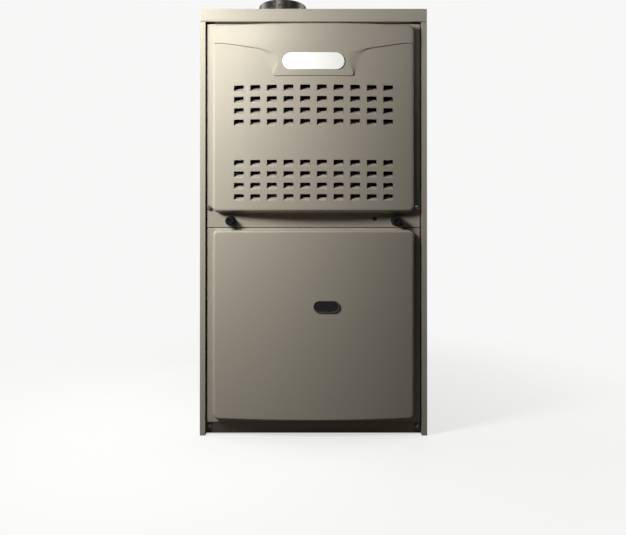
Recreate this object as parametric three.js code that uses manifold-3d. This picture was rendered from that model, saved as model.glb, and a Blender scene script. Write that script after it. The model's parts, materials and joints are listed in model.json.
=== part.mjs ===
// A forced air gas furnace, upflow type: a sheet steel cabinet with a bowed, louvred upper
// door over the burners and a bowed plain lower door over the blower. Millimetres, +Z up.
// The doors face -Y, +X is to the right of someone who looks at them, and the origin is
// the bottom centre of the furnace with its doors on.
import * as THREE from 'three';
import { mergeVertices } from 'three/addons/utils/BufferGeometryUtils.js';
import Module from 'manifold-3d';

const wasm = await Module();
wasm.setup();

// ---- Driving dimensions ----

// Cabinet
const deckHeight = 437; // top face of the blower deck
const heatingHeight = 401; // from the deck's top to the cabinet's top
const sideRoom = 113; // from an outer heat exchanger cell's middle to the cabinet's side
const cabinetDepth = 705;
const sheet = 1; // casing steel
const gap = 0.3; // clearance between neighbouring pieces
const flangeWidth = 10.5; // front flange of a side panel
const stopWidth = 17; // folded stop behind a door's rim
const backFlange = 15;
const topFlange = 12;
const bottomFlange = 19;
const capLip = 25.5; // height of the top cap's front lip
const capStop = 17; // stop that hangs behind the upper door's rim
const supplyFlange = 19;
const supplySideMargin = 20; // from the cabinet's side to the supply opening
const supplyBackMargin = 23;
const knockoutBase = 40;
const knockoutHeight = 356;
const knockoutFront = 75;
const knockoutBack = 70;
const scribeWidth = 1.6;
const scribeDepth = 0.4;
const bottomLip = 12; // top of the bottom panel's front lip
const railBase = 3.5; // bottom rail
const railHeight = 21;
const railSetback = 6;
const railEndGap = 23; // from the cabinet's side to the rail's end
const liner = 8; // foil-faced insulation
const cableHoleRadius = 11;

// Doors
const doorSideGap = 2.5;
const doorRecess = 4; // door flanges lie this far behind the side flanges
const doorRim = 12; // folded rim round the back of a door
const seamDrop = 29.5; // from the deck's top down to the seam between the doors
const doorSeamGap = 1;
const doorCapGap = 3;
const lowerDoorBase = 25;
const panelSideMargin = 12.5; // flat flange beside a raised panel
const upperPanelBaseMargin = 29.5;
const upperPanelTopMargin = 3.8;
const lowerPanelBaseMargin = 8;
const lowerPanelTopMargin = 3;
const riseAtSide = 12; // how far a raised panel stands out at its sides
const riseAtCentre = 27;
const panelCorner = 12;
const panelFillet = 4;
const wallDraft = 2;
const rimCorner = 1.5;
const doorTabDrop = 10; // how far the switch tab reaches below the switch's plunger

// Header emboss and badge on the upper door
const headerRise = 2.5;
const headerWingDrop = 43.5; // from the door's top down to the wing's outer end
const headerSlopeDrop = 14; // further down to the tab's shoulder
const headerBaseDrop = 109.5; // from the door's top down to the tab's lower edge
const headerFlat = 10;
const headerTabTop = 95;
const headerNeck = 8; // from the tab's top out to the foot of a wing's slope
const headerTabBase = 78;
const headerCorner = 5; // blend between the tab's edges
const badgeWidth = 120;
const badgeHeight = 33;
const badgeThickness = 1;
const badgeDrop = 81;

// Louvres
const louvreColumns = 10;
const louvreRows = 4; // in each of the two groups
const louvreColumnPitch = 32.2;
const louvreRowPitch = 22.1;
const louvreDrop = 132; // from the door's top to the upper group's first row
const louvreBase = 28.7; // from the panel's base to the lower group's last row
const louvreWidth = 19.3;
const louvreHeight = 12.5;
const louvreTongueWidth = 18;
const louvreTilt = 53; // degrees that a tongue is bent inwards
const louvreThinning = 0.8; // a tongue's thickness at its root, as a share of the sheet

// Small pieces on the doors
const knobInset = 47; // from the door's side
const knobRise = 13; // from the upper door's base
const knobRadius = 9;
const knobDepth = 16;
const knobTail = 15;
const knobStem = 3;
const knobBladeLength = 14;
const knobBladeWidth = 3;
const knobSlotClearance = 1;
const knobSkirt = 1.5; // the knob's foot is this much wider than its head
const knobBevel = 2;
const knobTailWidth = 8;
const knobSocketDepth = 6;
const knobAngle = -45; // degrees, the tail points down to the right
const spyHoleInset = 89.5;
const spyHoleRise = 17;
const spyHoleRadius = 4;
const sightX = 25;
const sightDrop = 151.7; // from the lower door's top
const sightLength = 51;
const sightWidth = 23.5;
const sightRim = 1.2;
const sightDepth = 8;
const sightLip = 1.5;
const glassThickness = 3;
const screwInset = 5;
const doorScrewRise = 38.8;
const baseScrewLift = 0.6; // above the bottom rail's middle
const screwHead = 4.2;
const screwHeadHeight = 3.2;
const screwWasher = 5;
const screwWasherThickness = 0.8;
const screwShank = 1.9;
const screwClearance = 0.5;
const screwReach = 4; // shank behind the doors' stops

// Deck and vestibule
const deckRailMargin = 6; // rail below the middle of the door switch's plunger
const trainClearance = 22.7; // from the cabinet's front to the gas valve's knob

// Flue
const flueSetback = 112;
const flueRadius = 50.8;
const flueWall = 0.8;
const flueReach = 42; // above the cabinet
const flueInset = 6; // below the cabinet's top face
const flueFlange = 15;
const bootNeck = 15; // straight stretches at the boot's lower and upper ends
const bootCollar = 12;

// Heat exchanger and burners
const cellCount = 3;
const cellPitch = 110;
const cellLength = 430;
const passCount = 4;
const passPitch = 54;
const passHalfHeight = 19;
const passHalfWidth = 25;
const cellWall = 1.2;
const cellSeam = 2; // the two halves' flat seam
const cellSeamMargin = 11; // seam outside the passes
const cellMargin = 30;
const firstPassRise = 103; // from the deck's top to the lowest pass
const mouthLength = 30; // round stretch of a cell behind its mouth
const inletRadius = 16;
const outletRadius = 14;
const burnerLength = 100;
const burnerHeadGap = 25; // from a burner's head to the vestibule panel
const burnerRadius = 17;
const burnerThroat = 11;
const burnerWall = 1.5;
const burnerLip = 4; // straight lip of the bell mouth
const burnerThroatStart = 24;
const burnerThroatEnd = 52;
const burnerHeadStart = 80;
const burnerBead = 4; // bead round the start of the head
const shelfSheet = 1.5;
const shelfEdge = 5; // sheet in front of the manifold's hole
const shelfMargin = 28; // from an outer burner's axis to the shelf's wall
const shelfWallHeight = 48;
const shelfFlange = 24;
const manifoldRadius = 9;
const manifoldSetback = 22; // in front of the burners' mouths
const manifoldOverhang = 8; // past the shelf's right wall
const spudRadius = 5;
const spudReach = 4;
const valveWidth = 54;
const valveGap = 4; // from the shelf's wall to the valve
const valveHeight = 56;
const valveDepth = 48;
const valveCorner = 8;
const coilWidth = 32;
const coilDepth = 30;
const coilHeight = 24;
const coilShift = 10; // from the valve's middle
const towerRadius = 9;
const towerReach = 8;
const towerInset = 14; // from the valve's right side
const towerDrop = 12;
const valveKnobRadius = 12;
const valveKnobDepth = 11;
const valveKnobDisc = 6; // thickness of the knob's disc
const valveKnobInset = 20; // from the valve's left side
const valveKnobLift = 4;
const valveGrip = 6; // width of the bar across the knob
const gasPipeRadius = 10.7;
const gasPipeWall = 2.8;
const gasPipeNut = 17;
const gasPipeNutLength = 9;
const gasHoleRadius = 20;
const igniterBlock = 14;
const igniterReach = 24;
const igniterBladeHeight = 9;
const igniterBladeThickness = 2;
const sensorRadius = 4.7;
const sensorRodRadius = 1.6;
const sensorLift = 6; // above the burners' axis
const rolloutRadius = 10;
const rolloutDepth = 9;
const rolloutPlate = 1.2;
const rolloutPlateLength = 32;
const rolloutPlateHeight = 12;
const rolloutLift = 2; // above the burners' tops
const resetRadius = 3;
const resetLength = 5;
const resetProud = 2.4;

// Draught inducer
const collectorDepth = 40;
const collectorMargin = 38; // from an outer cell's middle to the collector's side
const collectorHeight = 112;
const collectorCover = 28; // from the cells' outlets to the collector's top
const collectorRim = 9;
const collectorWall = 1.5;
const inducerX = -16;
const inducerDrop = 58; // from the collector's top to the inducer's axis
const inducerDepth = 48;
const inducerRadius = 76; // widest radius of the volute
const inducerCutoff = 58;
const inducerTurn = 300; // degrees that the volute's spiral runs
const inducerWall = 3;
const inducerRim = 4; // seam flange between the volute's halves
const inducerDuctWidth = 52;
const inducerDuctRise = 18; // from the collector's top to the duct's end
const inducerEye = 30;
const inducerWheelRadius = 50;
const inducerWheelClearance = 4;
const inducerWheelDisc = 2;
const inducerBladeRoot = 18;
const inducerBlade = 1.6;
const inducerBlades = 10;
const inducerHubRadius = 10;
const inducerHubLength = 18;
const inducerShaft = 4;
const shaftClearance = 2; // round the shaft where it enters the volute
const inducerMotorRadius = 42;
const inducerMotorLength = 50;
const inducerMotorBevel = 6;
const inducerStandoff = 14;
const inducerPostRadius = 4;
const inducerPostInset = 11; // from the motor's rim
const coolingFanRadius = 36;
const coolingFanDepth = 11;
const coolingFanBlades = 6;
const coolingFanBlade = 1.4;
const coolingFanChord = 15;
const coolingFanPitch = 28; // degrees
const pressureSwitchX = 98;
const pressureSwitchDrop = 46;
const pressureSwitchRadius = 30;
const pressureSwitchDepth = 24;
const pressureSwitchSeam = 4; // width and height of the bead round the switch
const portRadius = 3;
const portLength = 9;
const portInset = 6; // the housing's spigot, inside the volute's narrow end
const portDrop = 12;
const hoseRadius = 4.5;
const hoseStraight = 10; // stretch of hose that leaves a spigot straight
const hoseBow = 14;
const hoseShift = 6;
const hoseSag = 34;
const limitInset = 35.7;
const limitRise = 22; // from the collector's base
const limitPlateWidth = 46;
const limitPlateHeight = 26;
const limitRadius = 12;
const limitDepth = 14;
const limitBulb = 8;
const limitBulbReach = 12;
const limitBulbClearance = 1;
const limitTerminal = 6;
const limitTerminalReach = 10;

// Blower
const wheelRadius = 127;
const wheelSideGap = 6.5; // from the wheel's end to the outside of the housing's cheek
const wheelBlades = 26;
const wheelRing = 3; // thickness of the wheel's end rings
const wheelDisc = 1.6;
const wheelHubRadius = 18;
const wheelHubBack = 24; // hub on either side of the wheel's middle
const wheelHubFront = 8;
const bladeDepth = 26;
const bladeThickness = 1;
const bladeSweep = 7; // degrees that a blade's tip leads its root
const housingWidth = 216;
const blowerSetback = 400; // from the cabinet's front to the wheel's axis
const blowerHeight = 240;
const scrollClearance = 10; // from the wheel to the scroll at its cutoff
const scrollGrowth = 59; // from the scroll's radius at the cutoff to that at its end
const scrollStart = 70; // degrees from the back to the cutoff, over the top
const eyeStep = 23; // from the wheel's rim in to the inlet's edge
const eyeLap = 2; // the flare's ring laps the cheek's hole by this much
const inletFlare = 15;
const inletDepth = 4;
const housingFlange = 12;
const blowerShaftRadius = 6.35;
const shaftOverhang = 4; // past the wheel's hub
const shaftHold = 30; // length of shaft inside the motor
const shaftRunning = 0.6; // clearance round the turning shaft
const motorRadius = 69;
const motorLength = 130;
const motorOffset = 14; // from the wheel's middle to the motor's end
const motorBell = 14; // rounded length at each end of the motor
const motorCrown = 3;
const bandWidth = 20;
const bandThickness = 1.7;
const bandStandoff = 6; // from the housing's cheek
const armWidth = 22;
const armThickness = 3;
const footMargin = 4; // from the inlet's flare to an arm's foot
const footLength = 12;
const footThickness = 2;
const capacitorRadius = 22;
const capacitorWidth = 62;
const capacitorLength = 90;
const capacitorShift = 25; // behind the middle of the outlet
const capacitorDrop = 10; // below the housing's flange
const capacitorTerminal = 6;
const capacitorTerminalPitch = 18;
const capacitorTerminalHeight = 8;

// Controls
const traySetback = 80;
const trayLeft = -165;
const trayRight = 85;
const trayBase = 205;
const trayLip = 24;
const boardLeft = -60;
const boardRight = 72;
const boardRise = 20; // from the tray's base
const boardHeight = 120;
const boardThickness = 1.6;
const boardStandoff = 10;
const boardPostInset = 8;
const boardPostRadius = 3;
const statusLampRadius = 2.5;
const statusLampLength = 6;
const relayPitch = 30;
const relayWidth = 24;
const relayHeight = 28;
const relayDepth = 17;
const relayInset = 12;
const relayDrop = 16;
const connectorHeight = 9;
const connectorDepth = 11;
const connectorRise = 6;
const mainsConnectorInset = 16;
const mainsConnectorLength = 40;
const sensorConnectorInset = 92;
const sensorConnectorLength = 30;
const thermostatStripInset = 8;
const thermostatStripRise = 28;
const thermostatStripLength = 44;
const processorInset = 34;
const processorRise = 40;
const processorSize = 22;
const processorDepth = 4;
const fuseInset = 112;
const fuseRise = 46;
const fuseLength = 18;
const transformerInset = 47;
const transformerRise = 30;
const transformerHeight = 62;
const transformerWidth = 52;
const transformerDepth = 44;
const coreDepth = 22;
const bobbinWidth = 32;
const bobbinHeight = 38;
const bobbinCorner = 5;
const footWidth = 18;
const footReach = 11;
const footSheet = 1.5;
const doorSwitchInset = 80;
const doorSwitchDrop = 5.5; // from the doors' seam to the plunger
const doorSwitchWidth = 24;
const doorSwitchDepth = 34;
const doorSwitchTall = 22;
const doorSwitchLift = 3; // the switch's middle above its plunger
const plungerRadius = 4;
const plungerTravel = 4;
const plungerHold = 14; // length of plunger inside the switch at rest
const boxWidth = 58;
const boxLength = 80;
const boxHeight = 100;
const boxRise = 18; // from the deck's top
const boxSetback = 26;
const boxCoverLip = 2;
const boxCoverDepth = 12;

// Sides of round pieces, by size
const largeSides = 22;
const mediumSides = 14;
const smallSides = 10;
const tinySides = 6;

// ---- Places worked out from the dimensions ----

const outerCellX = (cellCount - 1) / 2 * cellPitch;
const halfWidth = outerCellX + sideRoom;
const cabinetHeight = deckHeight + heatingHeight;
const doorSeam = deckHeight - seamDrop;
const frontReach = riseAtCentre + headerRise + badgeThickness + gap - doorRecess;
const frontY = (frontReach - cabinetDepth) / 2;
const backY = frontY + cabinetDepth;
const doorY = frontY + doorRecess; // front face of the doors' flanges
const stopFrontY = doorY + doorRim + gap;
const stopBackY = stopFrontY + sheet;
const stopInnerX = halfWidth - flangeWidth - stopWidth;
const insideX = halfWidth - sheet - gap; // half width of a piece between the side panels
const sideTop = cabinetHeight - sheet - gap;
const insideTop = sideTop - sheet - gap;
const backPanelY = backY - sheet - gap - sheet; // front face of the back panel
const insideBackY = backPanelY - gap;
const deckRailY = stopBackY + gap;
const deckRailBackY = deckRailY + sheet;
const trainDepth = valveKnobDepth + gap + valveDepth / 2 + manifoldSetback + burnerLength + burnerHeadGap;
const vestibuleY = frontY + trainClearance + trainDepth;
const vestibuleBackY = vestibuleY + sheet;
const doorHalfWidth = halfWidth - flangeWidth - doorSideGap;
const upperDoorBase = doorSeam + doorSeamGap / 2;
const upperDoorTop = cabinetHeight - capLip - doorCapGap;
const lowerDoorTop = doorSeam - doorSeamGap / 2;
const panelHalfWidth = doorHalfWidth - panelSideMargin;
const knobX = doorHalfWidth - knobInset;
const knobHeight = upperDoorBase + knobRise;
const screwX = doorHalfWidth - screwInset;
const doorScrewHeight = upperDoorBase + doorScrewRise;
const baseScrewHeight = railBase + railHeight / 2 + baseScrewLift;
const sightHeight = lowerDoorTop - sightDrop;
const doorSwitchX = doorHalfWidth - doorSwitchInset;
const doorSwitchHeight = doorSeam - doorSwitchDrop;
const flueX = inducerX - inducerRadius + inducerDuctWidth / 2;
const flueY = frontY + flueSetback;
const blowerY = frontY + blowerSetback;
const burnerBackY = vestibuleY - burnerHeadGap;
const burnerFrontY = burnerBackY - burnerLength;
const manifoldY = burnerFrontY - manifoldSetback;
const firstPassHeight = deckHeight + firstPassRise;
const shelfTop = firstPassHeight - burnerRadius - gap;
const shelfHalfWidth = outerCellX + shelfMargin;
const collectorFrontY = vestibuleY - gap - collectorDepth;
const inducerBackY = collectorFrontY - gap;
const inducerFrontY = inducerBackY - inducerDepth;
const lastPassHeight = firstPassHeight + (passCount - 1) * passPitch;
const collectorHalfWidth = outerCellX + collectorMargin;
const collectorTop = lastPassHeight + collectorCover;
const collectorBase = collectorTop - collectorHeight;
const inducerHeight = collectorTop - inducerDrop;
const inducerDuctTop = collectorTop + inducerDuctRise;
const pressureSwitchHeight = collectorTop - pressureSwitchDrop;
const limitX = insideX - limitInset;
const limitHeight = collectorBase + limitRise;
const wheelWidth = housingWidth - 2 * wheelSideGap;
const scrollCutoff = wheelRadius + scrollClearance;
const scrollEnd = scrollCutoff + scrollGrowth;
const eyeRadius = wheelRadius - eyeStep;
const trayY = frontY + traySetback;
const boardBase = trayBase + boardRise;
const boardTop = boardBase + boardHeight;
const transformerX = trayLeft + transformerInset;
const transformerBase = trayBase + transformerRise;
const boxBase = deckHeight + boxRise;

// ---- Finishes ----

const finish = {
  paint: steel(0xaaa595, 0.5, 0.1),
  galvanised: steel(0xb4b7b8, 0.42, 0.8),
  aluminised: steel(0x9fa1a0, 0.5, 0.75),
  darkSteel: steel(0x3b3a39, 0.35, 0.7),
  fluePipe: steel(0x4a4744, 0.25, 0.85),
  foil: steel(0xc9ccce, 0.3, 0.9),
  zinc: steel(0xc4c6c6, 0.3, 0.85),
  castAluminium: steel(0xa6a8aa, 0.45, 0.8),
  brass: steel(0xb08d4a, 0.35, 0.85),
  motorBlack: steel(0x26272a, 0.45, 0.3),
  pipeBlack: steel(0x2c2b2a, 0.55, 0.4),
  blackPlastic: steel(0x151516, 0.4, 0),
  greyPlastic: steel(0x5d6063, 0.5, 0),
  whitePlate: steel(0xe9ebe9, 0.3, 0),
  smokedGlass: steel(0x2b292a, 0.1, 0),
  circuitBoard: steel(0x1f5a3a, 0.5, 0),
  ceramic: steel(0xd9d4c6, 0.7, 0),
  rubberHose: steel(0x1b1a1a, 0.75, 0),
  redPlastic: steel(0xa3241c, 0.45, 0),
};

function steel(color, roughness, metalness) {
  return new THREE.MeshStandardMaterial({ color, roughness, metalness });
}

// ---- Solids ----

// A closed geometry as a solid, turned outside out if its faces point inwards.
function solid(geometry) {
  const bare = geometry.clone();
  bare.deleteAttribute('normal');
  bare.deleteAttribute('uv');
  const merged = mergeVertices(bare, 1e-4);
  const corners = Array.from(merged.index.array);
  const faces = [];
  for (let i = 0; i < corners.length; i += 3) {
    const [a, b, c] = corners.slice(i, i + 3);
    if (a !== b && b !== c && c !== a) faces.push([a, b, c]);
  }
  const build = (order) => new wasm.Manifold(new wasm.Mesh({
    numProp: 3,
    vertProperties: Float32Array.from(merged.attributes.position.array),
    triVerts: Uint32Array.from(faces.flatMap(order)),
  }));
  const body = build(([a, b, c]) => [a, b, c]);
  return body.volume() < 0 ? build(([a, b, c]) => [a, c, b]) : body;
}

function join(...bodies) {
  return bodies.flat().reduce((sum, body) => sum.add(body));
}

function cut(body, ...tools) {
  return tools.flat().reduce((rest, tool) => rest.subtract(tool), body);
}

function box(x, y, z) {
  const size = [x, y, z].map(([low, high]) => high - low);
  const middle = [x, y, z].map(([low, high]) => (low + high) / 2);
  return solid(new THREE.BoxGeometry(...size).translate(...middle));
}

// Frames that lay a flat outline's two coordinates on (y, z), (x, z) or (x, y).
const X = new THREE.Vector3(1, 0, 0);
const Y = new THREE.Vector3(0, 1, 0);
const Z = new THREE.Vector3(0, 0, 1);
const outlineFrames = {
  x: (from) => new THREE.Matrix4().makeBasis(Y, Z, X).setPosition(from, 0, 0),
  y: (from, to) => new THREE.Matrix4().makeBasis(X, Z, Y.clone().negate()).setPosition(0, to, 0),
  z: (from) => new THREE.Matrix4().setPosition(0, 0, from),
};

// An outline, given as a Shape or as points, extruded along an axis.
function prism(axis, outline, [from, to], curveSegments = 2) {
  const shape = outline instanceof THREE.Shape ? outline : shapeOf(outline);
  const settings = { depth: to - from, bevelEnabled: false, curveSegments };
  const geometry = new THREE.ExtrudeGeometry(shape, settings);
  return solid(geometry.applyMatrix4(outlineFrames[axis](from, to)));
}

function shapeOf(points) {
  return new THREE.Shape(points.map(([u, v]) => new THREE.Vector2(u, v)));
}

// A profile of [radius, place along the axis] turned round an axis through a centre.
const turningFrames = {
  x: new THREE.Matrix4().makeBasis(Y.clone().negate(), X, Z),
  y: new THREE.Matrix4(),
  z: new THREE.Matrix4().makeBasis(X, Z, Y.clone().negate()),
};

function turned(axis, profile, [x, y, z], sides) {
  const points = profile.map(([radius, along]) => new THREE.Vector2(radius, along));
  const geometry = new THREE.LatheGeometry(points, sides);
  geometry.applyMatrix4(turningFrames[axis]).translate(x, y, z);
  return solid(geometry);
}

function rod(axis, radius, [from, to], centre, sides = smallSides) {
  return turned(axis, [[0, from], [radius, from], [radius, to], [0, to]], centre, sides);
}

function pipe(axis, outer, inner, [from, to], centre, sides) {
  const profile = [[inner, from], [outer, from], [outer, to], [inner, to], [inner, from]];
  return turned(axis, profile, centre, sides);
}

// The outline of a bent sheet whose middle line runs through the points.
function bent(points, thickness) {
  const sides = [[], []];
  points.forEach(([u, v], i) => {
    const before = direction(points[Math.max(i - 1, 0)], points[Math.max(i, 1)]);
    const last = points.length - 1;
    const after = direction(points[Math.min(i, last - 1)], points[Math.min(i + 1, last)]);
    const normal = [-(before[1] + after[1]), before[0] + after[0]];
    const square = normal[0] ** 2 + normal[1] ** 2;
    const reach = thickness / square;
    sides[0].push([u + normal[0] * reach, v + normal[1] * reach]);
    sides[1].push([u - normal[0] * reach, v - normal[1] * reach]);
  });
  return [...sides[0], ...sides[1].reverse()];
}

function direction([u0, v0], [u1, v1]) {
  const length = Math.hypot(u1 - u0, v1 - v0);
  return [(u1 - u0) / length, (v1 - v0) / length];
}

function rectangle([u0, u1], [v0, v1]) {
  return [[u0, v0], [u1, v0], [u1, v1], [u0, v1]];
}

// A rectangle with round corners, or a pill when the radius is half its height.
function rounded([u0, u1], [v0, v1], radius) {
  const shape = new THREE.Shape();
  shape.moveTo(u0 + radius, v0);
  shape.lineTo(u1 - radius, v0);
  shape.absarc(u1 - radius, v0 + radius, radius, -Math.PI / 2, 0);
  shape.lineTo(u1, v1 - radius);
  shape.absarc(u1 - radius, v1 - radius, radius, 0, Math.PI / 2);
  shape.lineTo(u0 + radius, v1);
  shape.absarc(u0 + radius, v1 - radius, radius, Math.PI / 2, Math.PI);
  shape.lineTo(u0, v0 + radius);
  shape.absarc(u0 + radius, v0 + radius, radius, Math.PI, Math.PI * 1.5);
  return shape;
}

function around(middle, size) {
  return [middle - size / 2, middle + size / 2];
}

// A run between two distances from the middle, on the left (-1) or the right (1).
function onSide(side, inner, outer) {
  return side < 0 ? [-outer, -inner] : [inner, outer];
}

// A skin over rings of equally many points. Each end is closed by strips between the
// ring's first half and its second half, which run in opposite directions.
function loft(rings) {
  const count = rings[0].length;
  const faces = [];
  rings.slice(1).forEach((ring, r) => {
    for (let i = 0; i < count; i += 1) {
      const a = r * count + i;
      const b = r * count + (i + 1) % count;
      faces.push([a, b, b + count], [a, b + count, a + count]);
    }
  });
  const lastRing = (rings.length - 1) * count;
  for (let i = 0; i < count / 2 - 1; i += 1) {
    const far = count - 1 - i;
    const end = [[i, far, i + 1], [i + 1, far, far - 1]];
    faces.push(...end, ...end.map(([a, b, c]) => [a + lastRing, c + lastRing, b + lastRing]));
  }
  const geometry = new THREE.BufferGeometry().setFromPoints(rings.flat());
  geometry.setIndex(faces.filter(([a, b, c]) => a !== b && b !== c && c !== a).flat());
  return solid(geometry);
}

// Turns a solid made for the +Y side of an axis along X round that axis.
function turnedRoundX(body, degrees, [y, z]) {
  return body.translate([0, -y, -z]).rotate([degrees, 0, 0]).translate([0, y, z]);
}

function turnedRoundY(body, degrees, [x, z]) {
  return body.translate([-x, 0, -z]).rotate([0, degrees, 0]).translate([x, 0, z]);
}

const furnace = new THREE.Group();

function place(name, body, material) {
  const { vertProperties, triVerts } = body.getMesh();
  const geometry = new THREE.BufferGeometry();
  geometry.setAttribute('position', new THREE.BufferAttribute(vertProperties, 3));
  geometry.setIndex(new THREE.BufferAttribute(triVerts, 1));
  geometry.computeVertexNormals();
  const mesh = new THREE.Mesh(geometry, material);
  mesh.name = name;
  furnace.add(mesh);
}

// ---- Casing ----

const screwHoleRadius = screwShank + screwClearance;

function screwHole(x, z, [from, to]) {
  return rod('y', screwHoleRadius, [from, to], [x, 0, z], tinySides);
}

// A side panel, folded at the front into a flange, a return and a stop for the doors' rims.
function sidePanel(side) {
  const fold = [
    [stopInnerX, (stopFrontY + stopBackY) / 2],
    [halfWidth - flangeWidth + sheet / 2, (stopFrontY + stopBackY) / 2],
    [halfWidth - flangeWidth + sheet / 2, frontY + sheet / 2],
    [halfWidth - sheet / 2, frontY + sheet / 2],
    [halfWidth - sheet / 2, backY - sheet / 2],
    [halfWidth - backFlange, backY - sheet / 2],
  ].map(([x, y]) => [side * x, y]);
  const flange = (width, up) => box(
    onSide(side, halfWidth - sheet - width, halfWidth - sheet / 2),
    [stopBackY + gap, backY - sheet / 2],
    up,
  );
  const wall = join(
    prism('z', bent(fold, sheet), [0, sideTop]),
    flange(topFlange, [sideTop - sheet, sideTop]),
    flange(bottomFlange, [0, sheet]),
  );
  const capLipRoom = box(
    onSide(side, halfWidth - flangeWidth - sheet, halfWidth + sheet),
    [frontY - sheet, frontY + sheet + gap],
    [cabinetHeight - capLip - gap, cabinetHeight],
  );
  const stopRun = [stopFrontY - sheet, stopBackY + sheet];
  return cut(
    wall,
    capLipRoom,
    scribedKnockout(side),
    screwHole(side * screwX, doorScrewHeight, stopRun),
    screwHole(side * screwX, baseScrewHeight, stopRun),
    sideHole(side),
  );
}

// The shallow scribed line round the part of a side that is cut out for return air.
function scribedKnockout(side) {
  const run = onSide(side, halfWidth - scribeDepth, halfWidth + sheet);
  const along = [frontY + knockoutFront, backY - knockoutBack];
  const up = [knockoutBase, knockoutBase + knockoutHeight];
  const inside = ([low, high]) => [low + scribeWidth, high - scribeWidth];
  return cut(
    prism('x', rectangle(along, up), run),
    prism('x', rectangle(inside(along), inside(up)), run),
  );
}

// The gas pipe enters through the left side and the supply cable through the right.
function sideHole(side) {
  const run = onSide(side, halfWidth - 2 * sheet, halfWidth + sheet);
  if (side < 0) return rod('x', gasHoleRadius, run, [0, manifoldY, firstPassHeight], mediumSides);
  const cableY = frontY + boxSetback + boxLength / 2;
  return rod('x', cableHoleRadius, run, [0, cableY, boxBase + boxHeight / 2]);
}

const backPanel = box([-insideX, insideX], [backPanelY, backPanelY + sheet], [sheet + gap, insideTop]);

place('left_side_panel', sidePanel(-1), finish.paint);
place('right_side_panel', sidePanel(1), finish.paint);
place('back_panel', backPanel, finish.paint);

// The top cap: a plate with a front lip, a boxed rail behind it and a turned-up supply flange.
function topCap() {
  const plate = cabinetHeight - sheet / 2;
  const lipBase = cabinetHeight - capLip;
  const lipY = frontY + sheet / 2;
  const stopY = (stopFrontY + stopBackY) / 2;
  const railZ = lipBase + sheet / 2;
  const skin = bent([[backY, plate], [lipY, plate], [lipY, lipBase]], sheet);
  const rail = bent([[lipY, railZ], [stopY, railZ], [stopY, lipBase - capStop]], sheet);
  const railX = stopInnerX - gap;
  const supplyX = halfWidth - supplySideMargin;
  const supplyFrontY = vestibuleBackY + gap;
  const supplyBackY = backY - supplyBackMargin;
  const supplyTop = cabinetHeight + supplyFlange;
  const flange = box([-supplyX, supplyX], [supplyFrontY, supplyBackY], [cabinetHeight - sheet, supplyTop]);
  const supplyOpening = box(
    [sheet - supplyX, supplyX - sheet],
    [supplyFrontY + sheet, supplyBackY - sheet],
    [cabinetHeight - 2 * sheet, supplyTop + sheet],
  );
  const flueRun = [cabinetHeight - 2 * sheet, cabinetHeight + sheet];
  return cut(
    join(prism('x', skin, [-halfWidth, halfWidth]), prism('x', rail, [-railX, railX]), flange),
    supplyOpening,
    rod('z', flueRadius + gap, flueRun, [flueX, flueY, 0], largeSides),
  );
}

place('top_cap', topCap(), finish.paint);

// The bottom rail: a channel that opens backwards, with an end tab on each door stop.
function bottomCap() {
  const webY = frontY + railSetback + sheet / 2;
  const tabBackY = stopFrontY - gap;
  const [low, high] = [railBase + sheet / 2, railBase + railHeight - sheet / 2];
  const channel = bent([[tabBackY, high], [webY, high], [webY, low], [tabBackY, low]], sheet);
  const railEnd = halfWidth - railEndGap;
  const tab = (side) => box(
    onSide(side, railEnd - sheet, halfWidth - flangeWidth - gap),
    [tabBackY - sheet, tabBackY],
    [railBase, railBase + railHeight],
  );
  const holeRun = [tabBackY - 2 * sheet, tabBackY + sheet];
  const hole = (side) => screwHole(side * screwX, baseScrewHeight, holeRun);
  return cut(
    join(prism('x', channel, [-railEnd, railEnd]), tab(-1), tab(1)),
    hole(-1),
    hole(1),
  );
}

place('bottom_cap', bottomCap(), finish.galvanised);

// The closed bottom rests on the side panels' lower flanges, with a stiffening lip in front.
function bottomPanel() {
  const floor = sheet + gap + sheet / 2;
  const lipY = stopBackY + gap + sheet / 2;
  const pan = bent([[insideBackY, floor], [lipY, floor], [lipY, bottomLip]], sheet);
  return prism('x', pan, [-insideX, insideX]);
}

place('bottom_panel', bottomPanel(), finish.galvanised);

// ---- Blower deck and vestibule panel ----

const scrollDuctFrontY = blowerY + scrollCutoff * Math.cos(THREE.MathUtils.degToRad(scrollStart));
const scrollDuctBackY = blowerY + scrollEnd;

// The slot that lets a knob's blade through while the knob is released.
function knobSlot(side) {
  const length = knobBladeLength + 2 * knobSlotClearance;
  const width = knobBladeWidth + 2 * knobSlotClearance;
  const x = side * knobX;
  const run = [deckRailY - sheet, deckRailBackY + sheet];
  const slot = box(around(x, length), run, around(knobHeight, width));
  return join(
    turnedRoundY(slot, -knobAngle, [x, knobHeight]),
    rod('y', knobStem + 2 * gap, run, [x, 0, knobHeight], tinySides),
  );
}

function blowerDeck() {
  const top = deckHeight - sheet / 2;
  const railY = (deckRailY + deckRailBackY) / 2;
  const railEnd = doorSwitchHeight - deckRailMargin;
  const fold = bent([[railY, railEnd], [railY, top], [insideBackY, top]], sheet);
  const discharge = box(
    around(0, housingWidth - 2 * sheet),
    [scrollDuctFrontY, scrollDuctBackY],
    [deckHeight - 2 * sheet, deckHeight + sheet],
  );
  const railRun = [deckRailY - sheet, deckRailBackY + sheet];
  const plungerHole = rod('y', plungerRadius + 2 * gap, railRun, [doorSwitchX, 0, doorSwitchHeight]);
  return cut(prism('x', fold, [-insideX, insideX]), discharge, knobSlot(-1), knobSlot(1), plungerHole);
}

place('blower_deck', blowerDeck(), finish.galvanised);

function cellX(index) {
  return index * cellPitch - outerCellX;
}

const cellIndices = Array.from({ length: cellCount }, (_, index) => index);

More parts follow.
